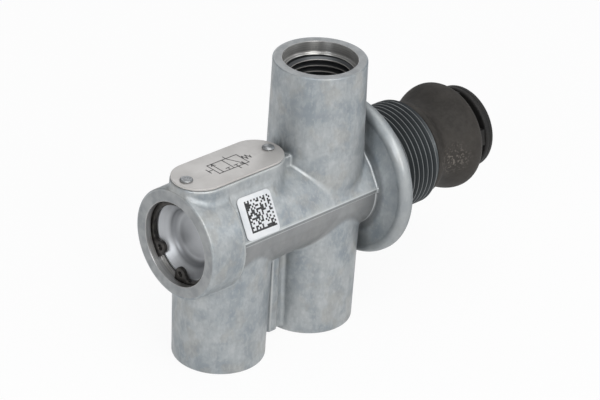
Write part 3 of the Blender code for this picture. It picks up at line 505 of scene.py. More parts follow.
fillet_start = 51.7
# Painted highlights along the ledge's two edges and the fillet's line
ledge_highlights = calculate(painted_light_and_shade, "MAXIMUM", near_line(painted_light_and_shade, ledge_y, ledge_z, 0.06, 0.26),
                        near_line(painted_light_and_shade, ledge_y, ledge_z - ledge_face, 0.04, 0.22))
fillet_line_highlight = times(painted_light_and_shade, near_plane(painted_light_and_shade, fillet_start, 0.04, 0.22), 0.8)
painted_light_and_shade.links.new(calculate(painted_light_and_shade, "MAXIMUM", ledge_highlights, fillet_line_highlight), put_out["Light"])
# Painted shadow on the ledge's face and behind the fillet's line
ledge_face_shadow = near_line(painted_light_and_shade, ledge_y, ledge_z - ledge_face / 2, 0.22, 0.40)
fillet_shade = near_plane(painted_light_and_shade, fillet_start + 0.4, 0.06, 0.35)
painted_light_and_shade.links.new(calculate(painted_light_and_shade, "MAXIMUM", ledge_face_shadow, fillet_shade), put_out["Dark"])
# Painted shade on the round belly below the ledge
off_belly = calculate(painted_light_and_shade, "ABSOLUTE", minus(painted_light_and_shade, from_axis, belly_r))
below_ledge = calculate(painted_light_and_shade, "LESS_THAN", low, ledge_z - ledge_step + 0.1)
painted_belly_shade = times(painted_light_and_shade, spread(painted_light_and_shade, off_belly, 0.08, 0.45, 1.0, 0.0), below_ledge)
painted_light_and_shade.links.new(painted_belly_shade, put_out["Belly_shade"])
# Painted shade on the flange
painted_light_and_shade.links.new(spread(painted_light_and_shade, spot["X"], fillet_start + 0.4 - valve_length / 2,
                           fillet_start + 1.6 - valve_length / 2), put_out["Flange_shade"])


def cast_colour(tree):
    """Blue-grey alloy with warm and bluish clouds and faint streaks, rubbed light on its edges, with painted
    highlights on edges, fillets and the ledge, and painted shade on the belly, the flange and in corners.
    """
    large, middle, streaks, patches, stains, flecks, glints = (
        grouped(tree, blotches, size=size, stretch=stretch, seed=seed)["Mask"] for size, stretch, seed in (
            (8.0, 1.4, 2.0), (3.4, 1.6, 5.0), (1.1, 5.0, 3.0), (5.0, 1.0, 9.0), (4.2, 1.2, 12.0), (0.9, 1.3, 15.0),
            (0.7, 1.8, 18.0)))
    worn_and_lit = grouped(tree, wear_and_painted_light, sharpness=0.10)
    # Painted highlight and shadow lines at the ledge and the flange's fillet, and painted shade on belly and flange
    lines = grouped(tree, painted_light_and_shade)
    tone = mixed(tree, large, (0.262, 0.300, 0.330), (0.412, 0.430, 0.436))
    for share, laid_over in (
            (times(tree, middle, 0.60), (0.500, 0.520, 0.528)),
            (times(tree, streaks, 0.25), (0.262, 0.285, 0.300)),
            (spread(tree, patches, 0.45, 1.0, 0.0, 0.42), (0.232, 0.268, 0.298)),
            (spread(tree, stains, 0.60, 1.0, 0.0, 0.40), (0.370, 0.362, 0.338)),
            (spread(tree, flecks, 0.45, 1.0, 0.0, 0.20), (0.255, 0.272, 0.282)),
            (spread(tree, glints, 0.50, 1.0, 0.0, 0.18), (0.600, 0.615, 0.620)),
            # Painted shade: the round belly and the flange made darker
            (times(tree, lines["Belly_shade"], 0.80), (0.235, 0.235, 0.235)),
            (times(tree, lines["Flange_shade"], 0.50), (0.190, 0.210, 0.225)),
            # Rubbed wear with painted highlight on edges, painted highlight in fillets, painted shade in corners
            (times(tree, worn_and_lit["Rubbed"], 0.50), (0.62, 0.63, 0.62)),
            (times(tree, worn_and_lit["Fillet_highlight"], 0.25), (0.56, 0.58, 0.58)),
            (spread(tree, worn_and_lit["Corner_shade"], 0.20, 1.0, 0.0, 0.50), (0.150, 0.165, 0.175)),
            # Painted shadow and painted highlight lines along the ledge and the flange's fillet
            (times(tree, lines["Dark"], 0.60), (0.120, 0.125, 0.130)),
            (times(tree, lines["Light"], 0.75), (0.66, 0.69, 0.70))):
        tone = mixed(tree, share, tone, laid_over)
    return tone


def cast_roughness(tree):
    return spread(tree, grouped(tree, blotches, size=3.0, stretch=1.6, seed=7.0)["Mask"], 0.0, 1.0, 0.40, 0.54)


def cast_height(tree):
    fine = grouped(tree, grain, size=0.32)["Height"]
    coarse = grouped(tree, grain, size=1.5)["Height"]
    return plus(tree, times(tree, coarse, 1.4), fine)


cast_skin = finish("cast_skin", cast_colour, cast_roughness, 0.70, cast_height, bump=0.35, depth=0.06)


points, faces = skin(casting, low=(-0.5, -20.8, -34.2), high=(56.6, 20.8, 34.4), cell=0.40)
casting_object = add_mesh("casting", points, faces, [cast_skin])
thinning = casting_object.modifiers.new("thinning", "DECIMATE")
thinning.ratio = 0.30
mesh = evaluated(casting_object)
local = np.zeros(len(mesh.vertices) * 3)
mesh.vertices.foreach_get("co", local)
local = local.reshape(-1, 3) / MM - spool_axis
normals = slope(casting, local)
settled = local - normals * casting(*local.T)[:, None]
local = np.where(np.linalg.norm(settled - local, axis=1)[:, None] < 0.1, settled, local)
mesh.vertices.foreach_set("co", in_place(local).ravel())
mesh.shade_smooth()
normals = slope(casting, local, 0.12)
mesh.normals_split_custom_set_from_vertices([tuple(normal) for normal in normals])
# Edge turn of the skin: for rubbed wear and a painted highlight on its edges, and a painted highlight in its fillets
reach = 0.45
rise = sum(casting(*(local + offset).T) for offset in np.concatenate((np.eye(3), -np.eye(3))) * reach) / 6
covered = (local[:, 0] < 1.5) | (local[:, 2] > port_top_rise - 1.5) | (local[:, 2] < 1.5 - axis_height)
worn_and_lit = mesh.attributes.new("edge", "FLOAT", "POINT")
worn_and_lit.data.foreach_set("value", np.where(covered, 0.0, (rise - casting(*local.T)) / reach).astype(np.float32))
# Painted shade in sheltered corners: how far the casting closes in around each point
open_to = 2.5
shade_amount = 1 - casting(*(local + normals * open_to).T) / open_to
occlusion_shade = mesh.attributes.new("occlusion_shade", "FLOAT", "POINT")
occlusion_shade.data.foreach_set("value", shade_amount.astype(np.float32))
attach(casting_object, "housing")
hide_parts("valve_body")


# Turned ends of the casting: the barrel's mouth, the three port mouths, and the back of the
# flange with the neck. They are cut on a lathe, so their edges are true and their bores bright.
def arc(along, out, radius, first, last, steps=6):
    """Points of a rounded corner. The angle runs from +along to +radius."""
    angles = [math.radians(first + (last - first) * step / steps) for step in range(steps + 1)]
    return [(along + radius * math.cos(angle), out + radius * math.sin(angle)) for angle in angles]


def turned(name, profile, looks, upright_at=None, closed=True, segments=128):
    """Ring or shell turned from (along, radius) points, each with the number of the look that
    starts there. It lies on the spool axis, or stands at upright_at = (x, side, rise), with
    along counted from a port's rim into the port."""
    look, filled = 0, []
    for along, out, *given_look in profile:
        look = given_look[0] if given_look else look
        filled.append((along, out, look))
    line = np.array([row[:2] for row in filled])
    angle = np.arange(segments) * math.tau / segments
    across, over = line[:, 1:] * np.cos(angle), line[:, 1:] * np.sin(angle)
    along = np.repeat(line[:, :1], segments, 1)
    if upright_at:
        x, facing, rise = upright_at
        points = np.stack([x + across, over, facing * (rise - along)], 2)
    else:
        points = np.stack([along, across, over], 2)
    count = len(line)
    faces, numbers = [], []
    for row in range(count if closed else count - 1):
        after = (row + 1) % count
        for step in range(segments):
            beside = (step + 1) % segments
            faces.append((row * segments + step, row * segments + beside,
                          after * segments + beside, after * segments + step))
            numbers.append(filled[row][2])
    obj = add_mesh(name, points.reshape(-1, 3), faces, looks)
    mesh = obj.data
    mesh.polygons.foreach_set("material_index", numbers)
    way = np.concatenate(([0], np.cumsum(np.hypot(*np.diff(line, axis=0).T))))
    mesh.attributes.new("path", "FLOAT", "POINT").data.foreach_set("value", np.repeat(way, segments))
    settle(mesh)
    return obj


def settle(mesh, angle=28):
    """Merges doubles, turns the faces outwards, and shades round faces smooth."""
    bm = bmesh.new()
    bm.from_mesh(mesh)
    bmesh.ops.remove_doubles(bm, verts=bm.verts, dist=0.001 * MM)
    bmesh.ops.dissolve_degenerate(bm, edges=bm.edges, dist=0.0005 * MM)
    bmesh.ops.recalc_face_normals(bm, faces=bm.faces)
    bm.to_mesh(mesh)
    bm.free()
    mesh.shade_smooth()
    mesh.set_sharp_from_angle(angle=math.radians(angle))


def bright_colour(tree):
    marks = grouped(tree, tool_marks, pitch=0.5)["Height"]
    return mixed(tree, spread(tree, marks, 0.3, 0.7), (0.38, 0.38, 0.38), (0.58, 0.575, 0.56))


def bore_finish(name, along):
    """Turned wall: its rings stretch each reflection along the bore's axis."""
    made = finish(name, bright_colour, 0.28, 0.9, lambda tree: grouped(tree, tool_marks, pitch=0.16)["Height"],
                  bump=0.12, depth=0.02, anisotropic=0.75)
    tree = made.node_tree
    axis = add_node(tree, "ShaderNodeCombineXYZ", dict(zip("XYZ", along)))
    tree.links.new(axis.outputs[0], tree.nodes["Principled BSDF"].inputs["Tangent"])
    return made


bore_metal = bore_finish("bore_metal", (1.0, 0.0, 0.0))
port_bore_metal = bore_finish("port_bore_metal", (0.0, 0.0, 1.0))


def faced_colour(tree):
    marks = grouped(tree, tool_marks, pitch=0.35)["Height"]
    tone = clouds(2.2, 4.0, (0.235, 0.248, 0.258), (0.345, 0.355, 0.360))(tree)
    return mixed(tree, times(tree, marks, 0.3), tone, (0.42, 0.43, 0.43))


faced_metal = finish("faced_metal", faced_colour, 0.44, 0.6, grains(0.5), bump=0.3, depth=0.05)
ends_look = [cast_skin, faced_metal, bore_metal]
port_look = [cast_skin, faced_metal, port_bore_metal]

mouth_edge = 0.4
mouth_r = barrel_r + 0.018
front_bore_r, ring_groove_r = 10.15, 10.95
mouth = [(1.9, 12.8, 0), (1.5, 13.289)]
mouth += [(along, out) for along, out in arc(mouth_edge, mouth_r - mouth_edge, mouth_edge, 90, 180)]
mouth += [(0.0, mouth_r - mouth_edge - 0.1, 1)]
mouth += [(along, out, 2) for along, out in arc(0.12, front_bore_r + 0.12, 0.12, 180, 270, 3)]
mouth += [(1.5, front_bore_r), (1.5, ring_groove_r), (3.1, ring_groove_r), (3.1, front_bore_r),
          (9.9, front_bore_r), (9.9, 12.0), (1.9, 12.0)]
barrel_mouth = turned("barrel_mouth", mouth, ends_look)

port_rim_edge = 0.3
counterbore_r, counterbore_depth = 8.75, 2.9
thread_root_r = 8.0
thread_start = counterbore_depth + 0.15
port_mouths = []
ports = (("port_mouth_top", (port_right_x, 1, port_top_rise)),
         ("port_mouth_left", (port_left_x, -1, axis_height)),
         ("port_mouth_right", (port_right_x, -1, axis_height)))
for name, stand in ports:
    rim = [(1.9, 10.6, 0), (1.5, port_rim_r + 0.017)]
    rim += arc(port_rim_edge, port_rim_r - port_rim_edge, port_rim_edge, 90, 180)
    rim += [(0.0, port_rim_r - port_rim_edge - 0.1, 1)]
    rim += [(along, out, 2) for along, out in arc(0.15, counterbore_r + 0.15, 0.15, 180, 270, 3)]
    rim += [(counterbore_depth - 0.1, counterbore_r), (counterbore_depth, counterbore_r - 0.1),
            (counterbore_depth + 0.05, thread_root_r + 0.1), (counterbore_depth + 0.2, thread_root_r),
            (counterbore_depth + 0.3, thread_root_r + 0.05), (counterbore_depth + 0.6, 9.7), (1.9, 9.7)]
    port_mouths.append(turned(name, rim, port_look, upright_at=stand))

undercut_r, neck_core_r, neck_mouth_r = 11.9, 11.5, 10.7
neck_end = 72.85
neck_profile = [(55.2, 19.0, 0), (55.4, flange_r), (flange_end - 0.3, flange_r)]
neck_profile += arc(flange_end - 0.3, flange_r - 0.3, 0.3, 90, 0, 4)
neck_profile += [(flange_end, 19.0, 1), (flange_end, 13.3), (55.7, 13.0), (55.7, undercut_r, 2),
                 (57.5, undercut_r), (57.9, neck_core_r), (72.45, neck_core_r), (72.55, 12.05),
                 (neck_end - 0.12, 12.05, 1), (neck_end, 11.93), (neck_end, neck_mouth_r), (71.6, neck_mouth_r, 2),
                 (71.6, 11.3), (70.2, 11.3), (70.2, 9.5), (68.28, 9.5), (68.28, 10.3), (66.68, 10.3),
                 (66.68, 9.5), (56.88, 9.5), (56.88, spool_bore_r), (54.2, spool_bore_r), (54.2, 17.0)]
neck = turned("flange_back_and_neck", neck_profile, ends_look, segments=160)
for piece in (barrel_mouth, neck, *port_mouths):
    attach(piece, "housing")


# Threads: M16 x 1.5 in the three ports for the pipe fittings and M26 x 1.5 on the neck for the
# panel nut. They are cut into the casting, so they are its metal, with painted shade in the roots
# and a painted highlight on the crests.
def geometry_rule(name, **inputs):
    """Geometry Nodes tree with number inputs and a material. Gives the tree, the names of its
    inputs for a modifier, and their sockets."""
    rule = bpy.data.node_groups.new(name, "GeometryNodeTree")
    names = {}
    for label, value in inputs.items():
        label = label.replace("_", " ").capitalize()
        kind = "NodeSocketInt" if isinstance(value, int) else "NodeSocketFloat"
        socket = rule.interface.new_socket(label, in_out="INPUT", socket_type=kind)
        socket.default_value = value
        names[label] = socket.identifier
    names["Material"] = rule.interface.new_socket("Material", in_out="INPUT",
                                                  socket_type="NodeSocketMaterial").identifier
    rule.interface.new_socket("Geometry", in_out="OUTPUT", socket_type="NodeSocketGeometry")
    return rule, names, rule.nodes.new("NodeGroupInput").outputs


def parted(tree, number, size):
    """How many whole times a size goes into a counted number, and what is left."""
    whole = calculate(tree, "FLOOR", calculate(tree, "DIVIDE", plus(tree, number, 0.25), size))
    return whole, minus(tree, number, times(tree, whole, size))


def give_painted(tree, geometry, material):
    """Ends a tree: what it made as one real mesh, in one material."""
    real = add_node(tree, "GeometryNodeRealizeInstances", {"Geometry": geometry})
    painted = add_node(tree, "GeometryNodeSetMaterial", {"Geometry": real.outputs[0], "Material": material})
    tree.links.new(painted.outputs[0], tree.nodes.new("NodeGroupOutput").inputs["Geometry"])


thread_rule, thread_inputs, given = geometry_rule(
    "screw_thread", root_radius=8.0, crest_radius=7.2, back_radius=9.0, pitch=1.5, start=0.0, end=10.0, lead=0.5,
    columns=96)
tree = thread_rule
rows_per_turn = 4
length = minus(tree, given["End"], given["Start"])
turns = calculate(tree, "CEIL", calculate(tree, "DIVIDE", length, given["Pitch"]))
rows = calculate(tree, "MULTIPLY_ADD", turns, float(rows_per_turn), 4.0 * rows_per_turn + 3)
sheet = add_node(tree, "GeometryNodeMeshGrid", {
    "Size X": 1.0, "Size Y": 1.0, "Vertices X": plus(tree, given["Columns"], 1.0), "Vertices Y": rows})
index = add_node(tree, "GeometryNodeInputIndex").outputs[0]
column, row = parted(tree, index, rows)
turn, step = parted(tree, row, float(rows_per_turn))
past_crest = calculate(tree, "GREATER_THAN", step, 0.5)
on_root = calculate(tree, "GREATER_THAN", step, 1.5)
past_root = calculate(tree, "GREATER_THAN", step, 2.5)
share = calculate(tree, "MULTIPLY_ADD", past_crest, 0.125, calculate(
    tree, "MULTIPLY_ADD", on_root, 0.3125, times(tree, past_root, 0.25)))
round_share = calculate(tree, "DIVIDE", column, given["Columns"])
turned_by = plus(tree, plus(tree, turn, -1.5), plus(tree, share, round_share))
free = calculate(tree, "MULTIPLY_ADD", given["Pitch"], turned_by, given["Start"])
along = calculate(tree, "MINIMUM", calculate(tree, "MAXIMUM", free, given["Start"]), given["End"])
crest = minus(tree, 1.0, on_root)
lead_in = calculate(tree, "DIVIDE", minus(tree, along, given["Start"]), given["Lead"])
lead_out = calculate(tree, "DIVIDE", minus(tree, given["End"], along), given["Lead"])
crest = calculate(tree, "MINIMUM", crest, calculate(tree, "MINIMUM", lead_in, lead_out))
tall = minus(tree, given["Crest radius"], given["Root radius"])
radius = calculate(tree, "MULTIPLY_ADD", tall, crest, given["Root radius"])
for from_last, end_label in ((3, "End"), (2, "Start")):
    is_back = calculate(tree, "COMPARE", row, minus(tree, rows, float(from_last)), 0.25)
    not_back = minus(tree, 1.0, is_back)
    radius = plus(tree, times(tree, radius, not_back), times(tree, given["Back radius"], is_back))
    along = plus(tree, times(tree, along, not_back), times(tree, given[end_label], is_back))
is_last = calculate(tree, "COMPARE", row, minus(tree, rows, 1.0), 0.25)
not_last = minus(tree, 1.0, is_last)
along = plus(tree, times(tree, along, not_last), times(tree, given["Start"], is_last))
angle = times(tree, round_share, math.tau)
spot = add_node(tree, "ShaderNodeCombineXYZ", {
    "X": times(tree, radius, calculate(tree, "COSINE", angle)),
    "Y": times(tree, radius, calculate(tree, "SINE", angle)), "Z": along})
marked = add_node(tree, "GeometryNodeStoreNamedAttribute", {
    "Geometry": sheet.outputs["Mesh"], "Name": "crest", "Value": crest}, data_type="FLOAT", domain="POINT")
moved = add_node(tree, "GeometryNodeSetPosition", {"Geometry": marked.outputs[0], "Position": spot.outputs[0]})
merged = add_node(tree, "GeometryNodeMergeByDistance", {"Geometry": moved.outputs[0], "Distance": 0.002})
give_painted(tree, merged.outputs[0], given["Material"])


def made_by_rule(name, rule, identifiers, **values):
    """Runs a Geometry Nodes tree in millimetres, and gives an object with its plain mesh."""
    obj = bpy.data.objects.new(name, bpy.data.meshes.new(name))
    scene.collection.objects.link(obj)
    modifier = obj.modifiers.new("rule", "NODES")
    modifier.node_group = rule
    for label, value in values.items():
        modifier[identifiers[label.replace("_", " ").capitalize()]] = value
    evaluated(obj)
    return obj


def moved_points(mesh, place):
    """Moves a mesh's points, given in millimetres, by a function of their three columns."""
    flat = np.zeros(len(mesh.vertices) * 3)
    mesh.vertices.foreach_get("co", flat)
    flat = flat.reshape(-1, 3)
    mesh.vertices.foreach_set("co", in_place(place(*flat.T)).ravel())
    mesh.update()


# Painted shade in the thread's roots and a painted highlight on its crests, by the crest attribute
def thread_colour(root, top, bright_from):
    def colour(tree):
        height = add_node(tree, "ShaderNodeAttribute", attribute_name="crest").outputs["Fac"]
        return mixed(tree, spread(tree, height, bright_from, 1.0), root, top)
    return colour


port_thread_metal = finish(
    "port_thread_metal", thread_colour((0.10, 0.105, 0.11), (0.66, 0.64, 0.61), 0.86), 0.30, 0.9, grains(0.25),
    bump=0.15, depth=0.03)
neck_thread_metal = finish(
    "neck_thread_metal", thread_colour((0.070, 0.078, 0.083), (0.190, 0.200, 0.205), 0.94), 0.40, 0.6, grains(0.25),
    bump=0.15, depth=0.03)
for name, (x, facing, rise) in ports:
    thread = made_by_rule(name.replace("mouth", "thread"), thread_rule, thread_inputs, start=thread_start, end=16.4,
                          material=port_thread_metal)
    moved_points(thread.data, lambda across, over, along: np.stack(
        [x + across, over, facing * (rise - along)], 1))
    settle(thread.data)
    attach(thread, "housing")
neck_thread = made_by_rule("neck_thread", thread_rule, thread_inputs, root_radius=12.1, crest_radius=13.0,
                           back_radius=11.2, start=57.6, end=72.72, lead=0.7, columns=128,
                           material=neck_thread_metal)
moved_points(neck_thread.data, lambda across, over, along: np.stack([along, across, over], 1))
settle(neck_thread.data)
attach(neck_thread, "housing")


# End plug: a cup of turned aluminium that closes the barrel. The snap ring holds it in, and its
# other side holds the return spring.
plug_r, plug_start, plug_end, plug_floor_x = 9.85, 3.1, 9.7, 6.2
seal_groove = (7.25, 9.15, 8.25)
plug_profile = [(plug_floor_x, 0.0, 0), (plug_floor_x, 4.6)]
plug_profile += arc(plug_floor_x - 2.4, 5.0, 2.4, 0, 64, 10)
plug_profile += arc(plug_start + 0.15, 9.35, 0.15, 250, 180, 2)
plug_profile += [(plug_start, plug_r - 0.2), (plug_start + 0.2, plug_r), (seal_groove[0], plug_r),
                 (seal_groove[0], seal_groove[2]), (seal_groove[1], seal_groove[2]), (seal_groove[1], plug_r),
                 (plug_end, plug_r), (plug_end, 5.6), (plug_end - 2.0, 5.6), (plug_end - 2.0, 0.0)]


def plug_colour(tree):
    """Turned aluminium with a painted dark reflection on the round corner of the cup, 6.9 mm along the profile."""
    marks = grouped(tree, tool_marks, pitch=0.8)["Height"]
    tone = mixed(tree, marks, (0.42, 0.435, 0.46), (0.52, 0.53, 0.545))
    path = add_node(tree, "ShaderNodeAttribute", attribute_name="path").outputs["Fac"]
    off = calculate(tree, "ABSOLUTE", minus(tree, path, 6.9))
    # Painted dark reflection, as a band on the cup's round corner
    return mixed(tree, spread(tree, off, 0.4, 1.5, 0.58, 0.0), tone, (0.11, 0.115, 0.125))


plug_metal = finish("plug_metal", plug_colour, 0.42, 0.75,
                    lambda tree: grouped(tree, tool_marks, pitch=0.14)["Height"], bump=0.08, depth=0.02)
plug = turned("plug_cup", plug_profile, [plug_metal], closed=False)
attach(plug, "housing")
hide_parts("end_plug")


# Snap ring: stamped from spring steel, phosphated and oiled nearly black, sprung into the
# groove in front of the plug. Two drilled ears beside its gap take the pliers.
def flat_piece(name, outlines, thickness, bevel, look):
    """Plate cut to closed outlines, the first round the outside, with broken edges."""
    curve = bpy.data.curves.new(name, "CURVE")
    curve.dimensions = "2D"
    curve.fill_mode = "BOTH"
    curve.extrude = thickness / 2 - bevel
    curve.bevel_depth = bevel
    curve.bevel_resolution = 2
    curve.offset = -bevel
    for outline in outlines:
        line = curve.splines.new("POLY")
        line.points.add(len(outline) - 1)
        line.points.foreach_set("co", [number for x, y in outline for number in (x, y, 0.0, 1.0)])
        line.use_cyclic_u = True
    holder = bpy.data.objects.new(name, curve)
    scene.collection.objects.link(holder)
    bpy.context.view_layer.update()
    mesh = bpy.data.meshes.new_from_object(holder.evaluated_get(bpy.context.evaluated_depsgraph_get()))
    bpy.data.objects.remove(holder)
    mesh.name = name
    mesh.materials.clear()
    mesh.materials.append(look)
    made = bpy.data.objects.new(name, mesh)
    scene.collection.objects.link(made)
    return made


def bend(middle, radius, first, last, steps):
    """Points on a round arc between two angles in radians."""
    return [(middle[0] + radius * math.cos(turn), middle[1] + radius * math.sin(turn))
            for turn in np.linspace(first, last, steps + 1)]


def circle(x, y, radius, steps=24):
    return bend((x, y), radius, 0, math.tau, steps)[:-1]


def rotated(x, y, angle):
    return x * math.cos(angle) - y * math.sin(angle), x * math.sin(angle) + y * math.cos(angle)


ring_outer, ring_inner, inner_offset = 10.65, 9.15, 0.7
ear_r, ear_reach, ear_fillet = 1.6, 8.4, 1.6
ring_face, gap_turn = math.radians(17.5), math.radians(-62)
ear_turn = ring_face + math.asin(ear_r / ear_reach)
ear_middle = Vector((ear_reach * math.cos(ear_turn), ear_reach * math.sin(ear_turn)))
inner_middle = Vector((inner_offset, 0.0))
to_ear, to_fillet = (ear_middle - inner_middle), ring_inner - ear_fillet
lean = math.acos((to_fillet ** 2 + to_ear.length ** 2 - (ear_r + ear_fillet) ** 2) / (2 * to_fillet * to_ear.length))
joins = math.atan2(to_ear.y, to_ear.x) + lean
fillet_middle = inner_middle + to_fillet * Vector((math.cos(joins), math.sin(joins)))
off_ear = math.atan2(*(fillet_middle - ear_middle).yx) - math.tau
ear = bend(ear_middle, ear_r, ring_face - math.pi / 2, off_ear, 20)
ear += bend(fillet_middle, ear_fillet, off_ear + math.pi, joins, 12)[1:]
outline = bend((0.0, 0.0), ring_outer, ring_face, math.tau - ring_face, 96)
outline += [(x, -y) for x, y in ear]
outline += bend(inner_middle, ring_inner, -joins, joins - math.tau, 80)[1:-1]
outline += ear[::-1]
black_steel = finish(
    "phosphated_steel", clouds(1.2, 3.0, (0.022, 0.021, 0.020), (0.060, 0.055, 0.050)),
    0.34, 0.6, grains(0.2), bump=0.2, depth=0.04)
ear_holes = [circle(ear_middle.x, side * ear_middle.y, ear_r * 0.42) for side in (1, -1)]
snap_ring = flat_piece("snap_ring", [outline, *ear_holes], 1.0, 0.14, black_steel)
snap_ring_x = 2.3
moved_points(snap_ring.data, lambda x, y, z: np.stack([snap_ring_x + z, *rotated(x, y, gap_turn)], 1))
settle(snap_ring.data, 35)
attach(snap_ring, "housing")
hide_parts("retaining_ring")


# Type plate: thin aluminium sheet with round ends on the casting's pad. It carries only the
# common graphic symbol of a 3/2 push-button valve, printed in black.
plate_r, plate_start, plate_end = 6.35, 0.2, 30.3
plate_low, plate_top = 15.0, 15.5
ends = bend((plate_end - plate_r, 0), plate_r, -math.pi / 2, math.pi / 2, 32)
ends += bend((plate_start + plate_r, 0), plate_r, math.pi / 2, 3 * math.pi / 2, 32)
plate_metal = finish(
    "plate_metal", clouds(7.0, 4.0, (0.47, 0.455, 0.440), (0.53, 0.515, 0.500)),
    lambda tree: spread(tree, grouped(tree, blotches, size=5.0, seed=1.0)["Mask"], 0.0, 1.0, 0.34, 0.44), 0.35,
    grains(0.3), bump=0.12, depth=0.03)
rivet_holes = [circle(x, 0, rivet_hole_r) for x in (rivet_front_x, rivet_rear_x)]
plate = flat_piece("type_plate", [ends, *rivet_holes], plate_top - plate_low, 0.08, plate_metal)
moved_points(plate.data, lambda x, y, z: np.stack([x, y, z + (plate_low + plate_top) / 2], 1))
settle(plate.data, 35)
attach(plate, "housing")
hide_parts("nameplate")

# Strokes of the symbol in millimetres: the two boxes, the open way of each with its arrow head,
# the shut ports, the ports' lines, the spring on the right and the button on the left
strokes = [(10.9, -2.2, 19.7, -2.2), (10.9, 2.2, 19.7, 2.2), (10.9, -2.2, 10.9, 2.2), (15.3, -2.2, 15.3, 2.2),
           (19.7, -2.2, 19.7, 2.2), (12.1, -2.1, 12.1, 2.1), (11.6, 1.3, 12.1, 2.1), (12.6, 1.3, 12.1, 2.1),
           (16.5, 2.1, 18.5, -2.1), (17.7, -1.6, 18.5, -2.1), (18.5, -1.1, 18.5, -2.1),
           (14.1, -2.1, 14.1, -1.3), (13.6, -1.3, 14.6, -1.3), (16.5, -2.1, 16.5, -1.3), (16.0, -1.3, 17.0, -1.3),
           (16.5, 2.3, 16.5, 3.2), (16.5, -2.3, 16.5, -3.2), (18.5, -2.3, 18.5, -3.2),
           (19.8, -0.1, 20.1, 0.8), (20.1, 0.8, 20.6, -0.8), (20.6, -0.8, 21.1, 0.8), (21.1, 0.8, 21.6, -0.8),
           (21.6, -0.8, 21.9, 0.1), (9.5, 0.0, 10.8, 0.0), (9.5, -0.9, 9.5, 0.9)]
stroke_half, stroke_low, stroke_high = 0.13, plate_top - 0.02, plate_top + 0.02
points, faces = [], []
for x_from, y_from, x_to, y_to in strokes:
    run = Vector((x_to - x_from, y_to - y_from)).normalized() * stroke_half
    aside_of = Vector((-run.y, run.x))
    corners = [Vector((x_from, y_from)) - run - aside_of, Vector((x_to, y_to)) + run - aside_of,
               Vector((x_to, y_to)) + run + aside_of, Vector((x_from, y_from)) - run + aside_of]
    first = len(points)
    points += [(*corner, level) for level in (stroke_low, stroke_high) for corner in corners]
    faces += [(first + 3, first + 2, first + 1, first), (first + 4, first + 5, first + 6, first + 7)]
    faces += [(first + i, first + (i + 1) % 4, first + 4 + (i + 1) % 4, first + 4 + i) for i in range(4)]
print_black = finish("plate_print", clouds(1.5, 3.0, (0.050, 0.049, 0.048), (0.095, 0.092, 0.090)),
                     0.5, 0.0, grains(0.2), bump=0.1, depth=0.02)
symbol = add_mesh("valve_symbol", points, faces, [print_black])
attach(symbol, "housing")


# Drive rivets: soft aluminium, driven through the plate into the pad. The front one is struck
# flat with a ring left by the punch, and the rear one keeps its dome.
rivet_metal = finish(
    "rivet_metal", clouds(0.9, 6.0, (0.26, 0.27, 0.28), (0.42, 0.43, 0.44)),
    0.33, 0.8, grains(0.3), bump=0.3, depth=0.05)
shank = [(-2.3, 0.0, 0), (-2.3, 0.6), (-1.9, 0.8), (0.7, 0.8)]
flat_head = [(0.70, 1.38), (0.78, 1.5), (0.92, 1.5), (1.04, 1.40), (1.12, 1.22), (1.13, 1.05), (1.08, 0.95),
             (1.07, 0.80), (1.13, 0.68), (1.15, 0.50), (1.12, 0.36), (1.07, 0.28), (1.06, 0.0)]
dome_head = [(0.70, 1.40), (0.80, 1.5), (0.90, 1.48)]
dome_head += [(0.70 + 0.70 * math.sin(math.radians(a)), 1.5 * math.cos(math.radians(a)))
              for a in range(22, 91, 8)] + [(1.40, 0.0)]
for name, node, x, head in (("rivet_struck_flat", "rivet_front", rivet_front_x, flat_head),
                            ("rivet_domed", "rivet_rear", rivet_rear_x, dome_head)):
    made = turned(name, [(-along, *rest) for along, *rest in shank + head], [rivet_metal],
                  upright_at=(x, 1, pad_top), closed=False, segments=40)
    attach(made, "housing")
    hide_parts(node)


# Sticker: white film with rounded corners, stuck on the leaning flat by hand, a little askew.
# Its black squares follow a rule and a seed, so they carry no code. They lie off its middle.
label_width, label_height, label_corner, label_turn = 9.85, 10.0, 1.2, math.radians(-1.5)
label_thick, label_gap = 0.15, 0.12
label_x, label_rise = 16.15, 5.15
outline = []
for side_x, side_y, first in ((1, 1, 0), (-1, 1, 90), (-1, -1, 180), (1, -1, 270)):
    outline += bend((side_x * (label_width / 2 - label_corner), side_y * (label_height / 2 - label_corner)),
                    label_corner, math.radians(first), math.radians(first + 90), 8)
film = finish(
    "label_film", clouds(3.0, 8.0, (0.62, 0.64, 0.665), (0.69, 0.70, 0.715)),
    0.38, 0.0, grains(0.6), bump=0.1, depth=0.03)
label = flat_piece("sticker", [outline], label_thick, 0.04, film)


def on_leaning_flat(x, y, z):
    """Takes points of the sticker's own plane to their place on the leaning flat."""
    across, up_slope = rotated(x, y, label_turn)
    rise = label_rise + up_slope
    off = z + label_gap
    lean_sin, lean_cos = math.sin(housing_lean), math.cos(housing_lean)
    return np.stack([label_x + across, -ledge_y + rise * lean_sin - off * lean_cos,
                     ledge_z + rise * lean_cos + off * lean_sin], 1)


moved_points(label.data, lambda x, y, z: on_leaning_flat(x, y, z + label_thick / 2))
settle(label.data, 35)
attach(label, "housing")
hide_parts("code_label")

